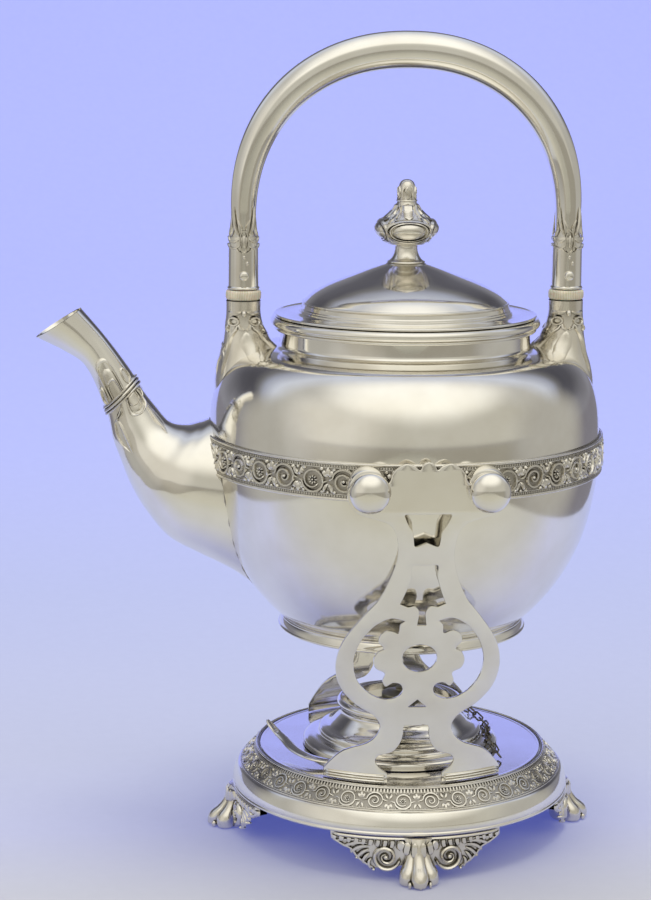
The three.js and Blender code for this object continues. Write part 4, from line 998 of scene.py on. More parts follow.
# Lines of the strapwork in millimetres, x along the spout from its lip and y round it, with their widths
STRAP_LINES = [
    ([(2, 0.5), (5, 2.2), (8.5, 5.5), (9.5, 7.5)], 1.3),
    ([(4.5, 2), (7.5, 2.4), (9, 5), (6.5, 4.4), (4.5, 2)], 0.8),
    ([(9, 5), (15, 4.2), (23, 4), (31, 4.4)], 1.3),
    ([(9.5, 7), (15, 7.4), (22, 6.8), (30, 5)], 1),
    ([(-3, -6.5), (-5.5, -8.5), (-8, -7.6), (-8, -5.6), (-5.5, -5), (-3, -6)], 0.9),
    ([(-3, 8), (-6, 9), (-8.5, 7.6), (-7.5, 6), (-3, 6.4)], 0.9),
    ([(2, -8.6), (5, -10), (8, -9), (9, -7.4)], 1),
]


def make_strap():
    """Applied strapwork: bands tied round the neck of the spout, with tongues laid up and down it."""
    stations = smooth(SPOUT_SHARES, 8)
    flat = bmesh.new()
    half_girth = pi * STRAP_RADIUS / 2
    for x, width in ((-2.6, 1.6), (-0.5, 2.4), (1.7, 1.8)):
        band = [(x * MM, y * half_girth) for y in (-1.04, -0.7, -0.3, 0, 0.3, 0.7, 1.04)]
        stroke(flat, band, width * MM, 1.1 * MM, (1, 1), steps=36)
    for size, thick in ((1, 1.3), (0.62, 0.8)):
        tongue = [(-2, -3.6 * size), (-10 * size, -3.9 * size), (-12.8 * size, -3.2 * size),
                  (-13.6 * size, -0.5), (-12.8 * size, 2.6 * size), (-10 * size, 3.4 * size),
                  (-2, 3.2 * size)]
        fall = [(1.5, -3.4 * size), (9 * size, -4 * size), (12.5 * size, -3.4 * size), (14.5 * size, -0.4),
                (12.5 * size, 2.8 * size), (9 * size, 3.4 * size), (1.5, 2.6 * size)]
        for route, shift in ((tongue, 1.2), (fall, -4.4)):
            drawn(flat, [(x, y + shift) for x, y in route], thick, 1, (0.7, 1, 1, 1, 0.7))
    for route, width in STRAP_LINES:
        drawn(flat, route, width, 0.9, (0.3, 1, 1, 0.8, 0.2))
    for start, end, y, width, shares in ((-11.5, -2, 0.8, 6, (0.7, 1, 1, 1, 0.9)),
                                         (1.5, 13, -4.6, 6.2, (0.9, 1, 1, 1, 0.6))):
        stroke(flat, [(start * MM, y * MM), (end * MM, y * MM)], width * MM, 0.55 * MM, shares, steps=12)
    flat = as_mesh(flat)
    bm = bmesh.new()
    for side in (1, -1):

        def place(co):
            angle = side * (pi / 2 + co.y / STRAP_RADIUS)
            return spout_place(stations, STRAP_ALONG + co.x / STRAP_LENGTH, angle, co.z)

        joined(bm, flat, place)
    piece("spout_strapwork", bm, "kettle", [CHASED], ["spout_strap"])


# Handle: sockets, ivory rings, ferrules, rivets, arch

SOCKET_TOP = high("handle_socket_left").z
SOCKET_RADIUS = 7.3 * MM
SOCKET_HALF_WIDTH = 17 * MM
SOCKET_DROP = 40 * MM
# Each station of a socket: how far down, half depth, half width and lean towards the neck
SOCKET_SHARES = [
    (0, 0.43, 0.43, 0), (0.15, 0.435, 0.43, 0), (0.27, 0.49, 0.45, -0.02), (0.33, 0.53, 0.47, -0.06),
    (0.4, 0.575, 0.5, -0.085), (0.475, 0.67, 0.55, -0.15), (0.56, 0.78, 0.62, -0.22),
    (0.7, 0.87, 0.72, -0.21), (0.86, 0.93, 0.82, -0.21), (1, 0.95, 0.88, -0.25),
]


def make_sockets():
    stations = smooth(SOCKET_SHARES, 6)
    for name, side in SIDES:

        def outside(u, v):
            down, deep, wide, lean = between(stations, v)
            fit = 1 + (SOCKET_RADIUS / (0.43 * SOCKET_HALF_WIDTH) - 1) * (1 - down)
            x = LEG_X + (lean + fit * deep * cos(u * TURN)) * SOCKET_HALF_WIDTH
            y = fit * wide * SOCKET_HALF_WIDTH * sin(u * TURN) * (1 + 0.35 * down * cos(u * TURN))
            return Vector((side * x, y, SOCKET_TOP - down * SOCKET_DROP))

        def core(drop):
            """The middle of the socket at a distance from its top."""
            lean = between(stations, drop / SOCKET_DROP)[3]
            return Vector((side * (LEG_X + lean * SOCKET_HALF_WIDTH), 0, SOCKET_TOP - drop))

        def relief_place(co):
            """A flat point laid on the socket's front: x round it, y down it from its top."""
            spot = outside(0.75 + co.x / SOCKET_RADIUS / TURN, co.y / SOCKET_DROP)
            return spot + (spot - core(co.y)).normalized() * co.z

        flat = bmesh.new()
        for mirror in (-1, 1):
            stroke(flat, [p * MM for p in oval(mirror * 4.3, 6.2, 2.1, 1.4, 14)], 1.1 * MM, 1.3 * MM, (1, 1),
                   around=6)
            for route, width in (([(1, 3), (3.2, 3.6), (5.4, 3.4), (7.6, 3)], 1.1),
                                 ([(2.4, 7), (3.4, 10), (5.6, 16), (7, 25), (7.6, 33)], 1.5),
                                 ([(0.2, 11), (1.6, 9), (2.4, 6.6)], 1.5),
                                 ([(6.6, 7.4), (7.4, 10), (7, 13)], 1)):
                drawn(flat, route, width, 1.3, (0.4, 1, 1, 0.8, 0.2), around=6, mirror=mirror)
        boss(flat, 0, 3.6 * MM, 1.1 * MM, 1.1 * MM, 1.4 * MM)
        keel = [(0, 12 * MM), (0, 22 * MM), (0, 32 * MM)]
        stroke(flat, keel, 5 * MM, 0.5 * MM, (0.2, 0.9, 1, 0.6, 0), 0.5, steps=14)
        for tip, fall in ((13.5, 2), (16, 6), (13, 9.5)):
            leaf = [(8, 20), (tip * 0.8, 22 + fall * 0.5), (tip, 24 + fall)]
            drawn(flat, leaf, 2.2, 0.8, (0.3, 1, 0.8, 0.1), 0.3, mirror=-side)
        flat = as_mesh(flat)
        bm = bmesh.new()
        wrapped(bm, 64, 60, outside)
        for back in (1, -1):
            joined(bm, flat, lambda co: Matrix.Diagonal((1, back, 1)) @ relief_place(co))
        piece(f"socket_{name}", bm, "kettle", [CAST], [f"handle_socket_{name}"])


def make_ivory_rings():
    for name, side in SIDES:
        node = f"insulator_{name}"
        radius, foot, top = radius_of(node), low(node).z, high(node).z
        outline = rounded([(0, foot), (radius - 0.3 * MM, foot), (radius, (foot + top) / 2),
                           (radius - 0.3 * MM, top), (0, top)], 1.1 * MM, 5)
        bm = turned(bmesh.new(), outline, SMALL_STEPS)
        bmesh.ops.translate(bm, verts=bm.verts, vec=(side * LEG_X, 0, 0))
        piece(f"ivory_ring_{name}", bm, "kettle", [IVORY], [node])


FERRULE_FOOT_RADIUS = 6.9 * MM
FERRULE_TOP_RADIUS = 6.2 * MM


def make_ferrules():
    for name, side in SIDES:
        node = f"ferrule_{name}"
        radius, foot, top = radius_of(node), low(node).z, high(node).z
        wire = 0.6 * MM
        outline = [(0, foot)] + half_round(radius - wire, 2 * wire, foot + wire, wire, -90, 60, 6)
        outline += [(radius - 0.5 * MM, foot + 2.2 * wire), (FERRULE_TOP_RADIUS, top), (0, top)]
        bm = turned(bmesh.new(), outline, SMALL_STEPS)
        bmesh.ops.translate(bm, verts=bm.verts, vec=(side * LEG_X, 0, 0))
        piece(f"ferrule_tube_{name}", bm, "kettle", [POLISHED], [node])

        rivet = f"rivet_{name}"
        head, middle = half_size(rivet, 2), middle_of(rivet, 2)
        seat, crown = radius_of(node) - 0.2 * MM, radius_of(rivet)
        dome = [(0, -crown), (head * 0.45, 0.12 * MM - crown), (head * 0.85, 0.5 * MM - crown),
                (head, -seat)]
        bm = turned(bmesh.new(), smooth(dome + [(r, -y) for r, y in dome[::-1]], 3), 24)
        bmesh.ops.rotate(bm, verts=bm.verts, matrix=Matrix.Rotation(pi / 2, 3, "X"))
        bmesh.ops.translate(bm, verts=bm.verts, vec=(side * LEG_X, 0, middle))
        piece(f"rivet_head_{name}", bm, "kettle", [POLISHED], [rivet])


# Lines of the leafy ornament over each joint with the handle in millimetres, with their widths
CALYX_LINES = [
    ([(1.8, -2.6), (4, -3.6), (6.5, -3.2), (8.6, -2.2), (10.2, -2.8)], 1.3),
    ([(1.8, 0.6), (4, -0.8), (6.4, -0.6), (8, 0.8), (10.2, 0.2)], 1.3),
    ([(2, 1.2), (3.4, 4), (4.4, 8), (4.8, 14)], 1.4),
    ([(7.4, 1), (5.8, 3.6), (5.2, 8), (4.8, 14)], 1.2),
    ([(0.6, 3.6), (1.4, 6), (2.8, 8.6)], 0.9),
    ([(1, -5.4), (2.4, -4.6), (3.2, -3)], 0.9),
]


def make_calyxes():
    """The leafy ornament that laps the joint of each ferrule with the handle, on its front and back."""
    foot, joint = low("ferrule_left").z, high("ferrule_left").z
    flat = bmesh.new()
    stroke(flat, [p * MM for p in oval(0, -0.8, 1.7, 4.6, 20)], 1 * MM, 0.8 * MM, (1, 1), around=6)
    for x, y, wide, tall, proud in ((0, -0.8, 0.8, 3, 0.6), (0, -7.2, 0.8, 1, 0.7),
                                    (1.4, -9.8, 0.7, 0.9, 0.5)):
        boss(flat, x * MM, y * MM, wide * MM, tall * MM, proud * MM)
    for mirror in (-1, 1):
        for route, width in CALYX_LINES:
            drawn(flat, route, width, 0.8, (0.4, 1, 1, 0.8, 0.15), around=6, mirror=mirror)
    flat = as_mesh(flat)
    seat = LEG_HALF - 0.4 * MM
    collar = [(seat, joint - 1 * MM), (6.4 * MM, joint - 0.9 * MM), (6.5 * MM, joint + 0.2 * MM),
              (FERRULE_TOP_RADIUS, joint + 1.1 * MM), (seat, joint + 1.2 * MM)]
    for name, side in SIDES:
        bm = bmesh.new()
        for bearing in (-pi / 2, pi / 2):

            def place(co):
                fall = (joint + co.y - foot) / (21 * MM)
                ferrule = FERRULE_FOOT_RADIUS + (FERRULE_TOP_RADIUS - FERRULE_FOOT_RADIUS) * fall
                radius = max(ferrule, LEG_HALF) + co.z
                angle = bearing + co.x / ferrule
                return Vector((side * LEG_X + radius * cos(angle), radius * sin(angle), joint + co.y))

            joined(bm, flat, place)
        ring = as_mesh(turned(bmesh.new(), collar, SMALL_STEPS))
        joined(bm, ring, lambda co: co + Vector((side * LEG_X, 0, 0)))
        piece(f"calyx_{name}", bm, "kettle", [CHASED])


ARCH_FOOT = low("handle_arch").z
ARCH_SPRING = 268 * MM
CROWN_HALF = radius_of("handle_arch")
LEG_HALF = high("handle_arch").x - AXIS_X - LEG_X
ARCH_TOP = high("handle_arch").z - CROWN_HALF
ARCH_POWER = 2.15


def arch_route(steps=96):
    """The handle's middle line, from the left leg's foot over the crown to the right leg's."""
    legs = 8
    rise = [ARCH_FOOT + (ARCH_SPRING - ARCH_FOOT) * i / legs for i in range(legs)]
    route = [Vector((-LEG_X, 0, z)) for z in rise]
    for i in range(steps + 1):
        angle = pi - pi * i / steps
        across = abs(cos(angle)) ** (2 / ARCH_POWER) * (1 if cos(angle) > 0 else -1)
        up = sin(angle) ** (2 / ARCH_POWER) if i not in (0, steps) else 0
        route.append(Vector((LEG_X * across, 0, ARCH_SPRING + (ARCH_TOP - ARCH_SPRING) * up)))
    return route + [Vector((LEG_X, 0, z)) for z in rise[::-1]]


def handle_place(route, along, angle, out):
    """A point on the handle: the share of its length, the way round it (0 is outwards), how proud."""
    point = between(route, along)
    ahead = between(route, along + 0.004) - between(route, along - 0.004)
    outward = Vector((-ahead.z, 0, ahead.x)).normalized()
    crown = max(0, (point.z - ARCH_SPRING) / (ARCH_TOP - ARCH_SPRING))
    half = LEG_HALF + (CROWN_HALF - LEG_HALF) * crown + out
    return point + outward * half * cos(angle) + Vector((0, -half * sin(angle), 0))


def make_handle():
    route = arch_route()
    corners = 8

    def outside(u, v):
        """Eight soft flats, drawn in to a point at both ends."""
        if v in (0, 1):
            return between(route, v)
        angle = u * TURN
        flat = cos(pi / corners) / cos((angle + pi / corners) % (TURN / corners) - pi / corners)
        return handle_place(route, v, angle, (flat - 1) * LEG_HALF * 0.6)

    bm = bmesh.new()
    wrapped(bm, 64, 240, outside)
    piece("handle_tube", bm, "kettle", [POLISHED], ["handle_arch"], sharp=50)


# Pivot pins

def make_pins():
    sheet = 90 * MM
    gap = 0.3 * MM
    neck, shaft, button = half_size("pivot_pin_front_left", 2), 2.7 * MM, 8.1 * MM
    dome = 0.62 * button
    root = sqrt(belly_radius_at(PIN_Z) ** 2 - (PIN_X + neck) ** 2) - 1.5 * MM
    seat = sheet - UPRIGHT_THICK - 2 * gap
    outline = [(0, root), (neck, root), (neck, sheet - UPRIGHT_THICK - 2.2 * MM),
               (neck - 0.6 * MM, seat - 0.4 * MM), (neck - 1.6 * MM, seat), (shaft, seat),
               (shaft, sheet + gap)]
    outline += half_round(0, 2 * dome, sheet + gap + dome, button, -66, 90, 24)
    for row, turn in ROWS:
        for name, side in SIDES:
            bm = turned(bmesh.new(), outline, SMALL_STEPS)
            bmesh.ops.rotate(bm, verts=bm.verts, matrix=Matrix.Rotation(-turn * pi / 2, 3, "X"))
            bmesh.ops.translate(bm, verts=bm.verts, vec=(side * PIN_X, 0, PIN_Z))
            piece(f"pin_{row}_{name}", bm, "kettle", [POLISHED], [f"pivot_pin_{row}_{name}"])


# Uprights

UPRIGHT_FOOT = low("upright_front").z
UPRIGHT_HEIGHT = high("upright_front").z - UPRIGHT_FOOT
HEAD_REACH = high("upright_rear").y
FOOT_REACH = 57.5 * MM
LEAN_HEIGHT = 121.7 * MM
# Shares of the sheet's lean: the height, and how far it has gone from its foot's reach to its head's
REACH_SHARES = [
    (-0.035, 0), (0.093, 0.01), (0.209, 0.08), (0.442, 0.31), (0.686, 0.62), (0.814, 0.79), (0.907, 0.92),
    (1, 1),
]
REACH_CURVE = smooth(REACH_SHARES, 8)
BEND_END = 0.93
# The sheet's right-hand edge and holes: x in shares of the pins' distance, z in shares of the sheet's height
EDGE_SHARES = [
    (0, 1), (0.09, 0.994), (0.145, 0.977), (0.235, 0.988), (0.385, 0.995), (0.53, 0.982), (0.6, 0.97),
    (0.66, 0.943), (0.76, 0.933), (1.15, 0.933), (1.2, 0.94), (1.32, 0.932), (1.37, 0.912), (1.32, 0.882),
    (1.175, 0.856), (0.86, 0.838), (0.66, 0.825), (0.54, 0.8), (0.487, 0.762), (0.483, 0.719),
    (0.556, 0.667), (0.744, 0.592), (0.987, 0.539), (1.3, 0.461), (1.41, 0.41), (1.436, 0.357),
    (1.34, 0.297), (1.064, 0.244), (0.73, 0.208), (0.632, 0.177), (0.692, 0.145), (0.846, 0.12),
    (1.248, 0.089), (1.48, 0.048), (1.58, 0.024), (1.58, 0),
]
VASE_SHARES = [(0, 0.853), (0.41, 0.853), (0.34, 0.826), (0.24, 0.8), (0.207, 0.754), (0, 0.768)]
TULIP_SHARES = [
    (0, 0.696), (0.214, 0.696), (0.222, 0.66), (0.3, 0.614), (0.39, 0.575), (0.256, 0.565),
    (0.137, 0.568), (0.06, 0.551), (0.077, 0.507), (0, 0.507),
]
CRESCENT_SHARES = [
    (0.295, 0.52), (0.509, 0.529), (0.684, 0.518), (0.838, 0.498), (1.047, 0.446), (1.137, 0.381),
    (1.064, 0.326), (0.85, 0.284), (0.585, 0.266), (0.363, 0.273), (0.269, 0.293), (0.308, 0.314),
    (0.44, 0.319), (0.564, 0.307), (0.624, 0.324), (0.59, 0.35), (0.744, 0.365), (0.795, 0.391),
    (0.726, 0.418), (0.624, 0.429), (0.722, 0.452), (0.684, 0.477), (0.538, 0.489), (0.393, 0.481),
    (0.368, 0.507),
]
TRIANGLE_SHARES = [(0, 0.265), (0.162, 0.241), (0, 0.241)]
SLOT_SHARES = [
    (0, 0.18), (0.207, 0.18), (0.231, 0.15), (0.269, 0.126), (0.406, 0.095), (0.641, 0.081),
    (0.697, 0.065), (0.641, 0.048), (0.487, 0.028), (0.479, 0),
]
EYE_HALF_WIDTH, EYE_HALF_HEIGHT, EYE_UP = 0.303, 0.044, 0.4
CRADLE_RADIUS = 3.3 * MM
LEDGE = 0.933
BELOW_CRADLE = 9


def reach_at(height):
    """How far out the sheet's outer face stands at a height above its foot, on the middle line."""
    share = height / LEAN_HEIGHT
    for lower, upper in zip(REACH_CURVE, REACH_CURVE[1:]):
        if share <= upper[0]:
            part = (share - lower[0]) / (upper[0] - lower[0])
            return FOOT_REACH + (HEAD_REACH - FOOT_REACH) * (lower[1] + (upper[1] - lower[1]) * part)
    return HEAD_REACH


def bend_at(x, height):
    """How far the sheet falls back at a distance from its middle line."""
    bend = max(0, 1 - height / LEAN_HEIGHT / BEND_END)
    return bend * x ** 2 / (2 * reach_at(height))


def both_sides(half):
    """A closed outline from its right half, which starts and ends on the middle line."""
    return half + flipped([p for p in half[::-1] if p[0] > HAIR], x=-1)


def upright_loops():
    """The sheet's outline and its holes, flat. The slot is open at the foot, so it is in the outline."""
    def curve(shares, radius=0):
        points = [(x * PIN_X, z * UPRIGHT_HEIGHT) for x, z in shares]
        return rounded(points, radius) if radius else smooth(points, 4)

    pin_height = PIN_Z - UPRIGHT_FOOT
    cradle = [Vector((PIN_X + CRADLE_RADIUS * cos(radians(a)), pin_height + CRADLE_RADIUS * sin(radians(a))))
              for a in range(180, 361, 15)]
    ends = [Vector((PIN_X + side * CRADLE_RADIUS, LEDGE * UPRIGHT_HEIGHT)) for side in (-1, 1)]
    right = curve(EDGE_SHARES[:BELOW_CRADLE]) + ends[:1] + cradle + ends[1:]
    right += curve(EDGE_SHARES[BELOW_CRADLE:-1]) + [Vector((EDGE_SHARES[-1][0] * PIN_X, 0))]
    slot = curve(SLOT_SHARES[:-1]) + [Vector((SLOT_SHARES[-1][0] * PIN_X, 0))]
    outer = right + slot[::-1] + flipped([p for p in slot if p[0] > HAIR], x=-1)
    outer += flipped([p for p in right[::-1] if p[0] > HAIR], x=-1)
    tulip = curve(TULIP_SHARES[:5]) + curve(TULIP_SHARES[5:9])
    tulip += [Vector((0, TULIP_SHARES[9][1] * UPRIGHT_HEIGHT))]
    crescent = curve(CRESCENT_SHARES + [CRESCENT_SHARES[0]])[:-1]
    eye = oval(0, EYE_UP * UPRIGHT_HEIGHT, EYE_HALF_WIDTH * PIN_X, EYE_HALF_HEIGHT * UPRIGHT_HEIGHT, 40)[:-1]
    return [outer, both_sides(curve(VASE_SHARES, 1.2 * MM)), both_sides(tulip),
            both_sides(curve(TRIANGLE_SHARES, 0.4 * MM)), crescent, flipped(crescent, x=-1), eye]


def sliced(bm, axis, start, end, count):
    """Cuts the mesh with evenly spaced planes square to an axis, so that it can bend."""
    normal = [0, 0, 0]
    normal[axis] = 1
    for i in range(1, count):
        place = [0, 0, 0]
        place[axis] = start + (end - start) * i / count
        geometry = bm.verts[:] + bm.edges[:] + bm.faces[:]
        bmesh.ops.bisect_plane(bm, geom=geometry, dist=HAIR, plane_co=place, plane_no=normal)


def sheet_point(x, height, out, turn):
    """A flat point laid on an upright: x across, the height above its foot, and how proud of its face."""
    y = reach_at(height) - bend_at(x, height) + out
    return Vector((-turn * x, turn * y, UPRIGHT_FOOT + height))


def make_upright(row, turn):
    bm = bmesh.new()
    # A sheet with holes, whose edges are eased
    bevel = 0.35 * MM
    joined(bm, curve_mesh(upright_loops(), dimensions="2D", fill_mode="BOTH", bevel_depth=bevel,
                          bevel_resolution=1, offset=-bevel, extrude=UPRIGHT_THICK / 2 - bevel))
    bmesh.ops.remove_doubles(bm, verts=bm.verts, dist=HAIR)
    half = 1.6 * PIN_X
    sliced(bm, 1, 0, UPRIGHT_HEIGHT, 44)
    sliced(bm, 0, -half, half, 18)
    moved(bm.verts, lambda co: sheet_point(co.x, co.y, co.z - UPRIGHT_THICK / 2, turn))
    piece(f"upright_sheet_{row}", bm, "stand", [POLISHED], [f"upright_{row}"], sharp=25)


def make_steps(row, turn):
    """Three fine mouldings across the outside of each of the upright's two feet."""
    for name, side in (("a", -1), ("b", 1)):
        flat = bmesh.new()
        for height, width in ((0.55, 1.1), (1.75, 1), (2.85, 1)):
            route = [(side * x * MM, height * MM) for x in (12, 18, 24, 30, 36.6)]
            stroke(flat, route, width * MM, 1.1 * MM, (1, 1), steps=24)
        bm = bmesh.new()
        joined(bm, as_mesh(flat), lambda co: sheet_point(co.x, co.y, co.z, turn))
        piece(f"step_{row}_{name}", bm, "stand", [POLISHED], [f"upright_{row}_step_{name}"])


# Lid hinge

def bar(bm, length, radius, x, y, z, bore=0):
    """A round bar or barrel along X with eased ends."""
    ease = 0.3 * MM
    outline = [(bore, -length / 2), (radius - ease, -length / 2), (radius, -length / 2 + ease),
               (radius, length / 2 - ease), (radius - ease, length / 2), (bore, length / 2)]
    made = turned(bmesh.new(), outline, 32)
    bmesh.ops.rotate(made, verts=made.verts, matrix=Matrix.Rotation(pi / 2, 3, "Y"))
    joined(bm, as_mesh(made), lambda co: co + Vector((x, y, z)))


def eased_block(bm, low_corner, high_corner):
    """A box with rounded edges between two corners."""
    made = bmesh.new()
    bmesh.ops.create_cube(made, size=1)
    low_corner, high_corner = Vector(low_corner), Vector(high_corner)
    for vert in made.verts:
        share = vert.co + Vector((0.5, 0.5, 0.5))
        vert.co = Vector([a + (b - a) * s for a, b, s in zip(low_corner, high_corner, share)])
    bmesh.ops.bevel(made, geom=made.edges[:], offset=0.3 * MM, affect="EDGES", segments=3, profile=0.5,
                    material=-1)
    joined(bm, as_mesh(made))


def make_hinge():
    middle_y, middle_z = middle_of("hinge_pin", 1), middle_of("hinge_pin", 2)
    barrel, knuckle = half_size("hinge_tongue", 2), half_size("hinge_tongue", 0)
    half = half_size("hinge_pin", 0)
    gap = 0.3 * MM
    wire = 1 * MM
    bore = 1.15 * wire
    bm = bmesh.new()
    foot = low("hinge_bracket").z
    near, far = low("hinge_bracket").y, high("hinge_bracket").y
    eased_block(bm, (-half, near, foot), (half, far, foot + 2.75 * MM))
    for side in (-1, 1):
        middle = side * (half + knuckle + gap) / 2
        width = half - knuckle - gap
        bar(bm, width, barrel, middle, middle_y, middle_z, bore)
        eased_block(bm, (middle - width / 2, near, foot + MM), (middle + width / 2, far - MM, middle_z))
    piece("hinge_knuckles", bm, "kettle", [POLISHED], ["hinge_bracket"])
    bm = bmesh.new()
    bar(bm, 2 * knuckle, barrel, 0, middle_y, middle_z, bore)
    # The leaf ends short of the bore, so that it clears the wire when it turns.
    eased_block(bm, (-knuckle, low("hinge_tongue").y, middle_z - 0.4 * MM),
                (knuckle, middle_y - 1.3 * bore, middle_z + 1.2 * MM))
    piece("hinge_leaf", bm, "lid", [POLISHED], ["hinge_tongue"])
    bm = bmesh.new()
    bar(bm, 2 * half, wire, 0, middle_y, middle_z)
    piece("hinge_wire", bm, "kettle", [POLISHED], ["hinge_pin"])


# Spirit lamp

LAMP_FOOT = low("lamp_body").z
LAMP_RADIUS = radius_of("lamp_body")
LAMP_HEIGHT = 16.6 * MM
LAMP_SHARES = [
    (1, 0), (1, 0.06), (0.995, 0.14), (0.97, 0.2), (0.93, 0.235), (0.85, 0.26), (0.835, 0.3),
    (0.835, 0.4), (0.82, 0.45), (0.76, 0.49), (0.715, 0.56), (0.67, 0.68), (0.635, 0.78), (0.615, 0.86),
    (0.615, 0.98),
]


def make_lamp():
    top = LAMP_FOOT + 0.98 * LAMP_HEIGHT
    outer = smooth(scaled(LAMP_SHARES, LAMP_RADIUS, LAMP_FOOT, LAMP_HEIGHT), 4)
    dish = 24.3 * MM
    floor_height = low("burner_tube").z - 0.3 * MM
    wall = 1.8 * MM
    inner = [(dish, top), (dish - wall / 2, floor_height + 1.6 * MM), (dish - wall * 2, floor_height),
             (0, floor_height)]
    under = [(0, floor_height - wall), (dish - wall, floor_height - wall),
             (LAMP_RADIUS - 4 * wall, LAMP_FOOT + wall), (LAMP_RADIUS - wall, LAMP_FOOT)]
    outline = [Vector(p) for p in under] + outer + [Vector(p) for p in inner]
    piece("lamp_font", turned(bmesh.new(), outline), "lamp", [POLISHED], ["lamp_body"], sharp=30)

    rim, foot, high_edge = radius_of("lamp_rim"), low("lamp_rim").z, high("lamp_rim").z
    width = 4.3 * MM
    middle = (foot + high_edge) / 2
    ring = [(rim - width, middle + 0.9 * MM), (rim - width, foot)]
    ring += half_round(rim - 1.7 * MM, high_edge - foot, middle, 1.7 * MM, -90, 100, 16)
    piece("lamp_rim_ring", turned(bmesh.new(), ring), "lamp", [POLISHED], ["lamp_rim"])

    foot, top = low("burner_tube").z, high("burner_tube").z
    outer_radius, wall = 6.5 * MM, 1.4 * MM
    flange = radius_of("burner_tube")
    tube = rounded([(outer_radius - wall, foot), (flange, foot), (flange, foot + wall),
                    (outer_radius, foot + 2 * wall), (outer_radius, top), (outer_radius - wall, top)],
                   0.4 * MM, 3)
    burner = turned(bmesh.new(), tube, SMALL_STEPS)
    piece("burner", burner, "lamp", [BURNT], ["burner_tube"])

    radius, foot, top = radius_of("wick"), low("wick").z, high("wick").z
    strand = rounded([(0, foot), (radius, foot), (radius, top - 0.6 * MM), (radius - 0.8 * MM, top),
                      (0, top)], 0.5 * MM)
    piece("wick_plait", turned(bmesh.new(), strand, 32), "lamp", [COTTON], ["wick"])

    cap_outer, foot, top = radius_of("burner_cap"), low("burner_cap").z, high("burner_cap").z
    inside = cap_outer - 1.2 * MM
    ceiling = 58.22 * MM
    knob = cap_outer * 0.3
    cap = [(0, ceiling), (inside, ceiling), (inside, foot), (cap_outer, foot),
           (cap_outer, ceiling + 0.6 * MM), (cap_outer * 0.7, ceiling + 1.2 * MM),
           (cap_outer * 0.25, ceiling + 1.7 * MM),
           (knob * 0.8, top - 1.1 * MM), (knob, top - 0.7 * MM), (knob * 0.6, top - 0.1 * MM), (0, top)]
    cap = turned(bmesh.new(), rounded(cap, 0.5 * MM, 3), SMALL_STEPS)
    piece("cap", cap, "cap", [BURNT], ["burner_cap"])


# The strap handle: how far out in shares of its reach, bearing in degrees, rise in shares of the lamp's
LAMP_HANDLE_SHARES = [
    (0.74, 228, 0.1), (0.8, 224, 0.12), (0.865, 216, 0.16), (0.89, 204, 0.22), (0.9, 193, 0.32),
    (0.94, 186, 0.44), (1, 181.5, 0.66),
]
LAMP_HANDLE_REACH = 58.6 * MM


def make_lamp_handle():
    spots = []
    for share, bearing, up in LAMP_HANDLE_SHARES:
        reach = share * LAMP_HANDLE_REACH
        spots.append((reach * cos(radians(bearing)), reach * sin(radians(bearing)),
                      LAMP_FOOT + up * LAMP_HEIGHT))
    route = smooth(spots, 8)

    def outside(u, v):
        """A strap with rounded edges that narrows towards its upturned tip."""
        point = between(route, v)
        if v in (0, 1):
            return point
        ahead = (between(route, v + 0.02) - between(route, v - 0.02)).normalized()
        side = ahead.cross(Vector((0, 0, 1))).normalized()
        width = 2.7 * MM * (1 - 0.45 * v * v) * min(1, (1 - v) * 14) ** 0.5
        angle = u * TURN
        across = abs(cos(angle)) ** 0.5 * (1 if cos(angle) > 0 else -1)
        return point + side * width * across + side.cross(ahead) * 0.65 * MM * sin(angle)

    bm = bmesh.new()
    wrapped(bm, 24, 60, outside)
    piece("lamp_strap", bm, "lamp", [POLISHED], ["lamp_handle"])


# Feet

FOOT_TOP = high("foot_front").z
PAW_REACH = 75 * MM
PAW_HALF_WIDTH = 7.3 * MM
PAW_HALF_DEPTH = 7.8 * MM
APRON_REACH = 72 * MM
APRON_HALF_WIDTH = 35 * MM
# Each station of a paw: how far up, half depth, half width and lean towards the stand
PAW_SHARES = [
    (0, 0.8, 0.82, 0), (0.04, 0.95, 0.97, 0), (0.12, 1, 1, 0), (0.3, 0.94, 0.98, -0.03),
    (0.48, 0.7, 0.78, -0.2), (0.66, 0.56, 0.64, -0.36), (0.85, 0.5, 0.74, -0.44), (1, 0.44, 0.86, -0.5),
]
# The apron's lower edge: how far across, and how far up
APRON_SHARES = [
    (0, 0.34), (0.2, 0.34), (0.3, 0.29), (0.4, 0.26), (0.5, 0.28), (0.58, 0.36), (0.69, 0.5),
    (0.76, 0.65), (0.87, 0.71), (0.97, 0.8), (1, 0.84),
]
# The acanthus of the apron's right half in millimetres: lines, widths, how proud, and how they swell
ACANTHUS = [
    ([(34.6, 16.3), (30.8, 14.2), (27, 12.6), (24.6, 9.6), (20.6, 6.6), (17.6, 5)], 1.4, 1.2,
     (0.8, 1, 1, 0.9, 0.5)),
    ([(21, 16.4), (26, 16.6), (31, 15.8), (34.2, 15.2)], 1.3, 0.9, (0.4, 1, 1, 0.3)),
    ([(20.6, 15.4), (24.4, 15.6), (28, 14.4), (30.6, 13.2)], 1.9, 1.4, (0.3, 1, 1, 0.4)),
    ([(20.2, 14.6), (23.4, 14), (26, 12.4), (27.4, 10.6)], 2, 1.5, (0.3, 1, 1, 0.4)),
    ([(19.8, 13.4), (22.2, 12), (24, 10.2), (24.8, 8.2)], 2, 1.5, (0.3, 1, 1, 0.4)),
    ([(19.6, 11.8), (21.2, 10.2), (22.2, 8.4), (22, 6.4)], 1.9, 1.5, (0.3, 1, 1, 0.4)),
    ([(18.8, 9.6), (19.9, 8.2), (20, 6.6), (19, 4.6)], 1.7, 1.5, (0.3, 1, 1, 0.5)),
]


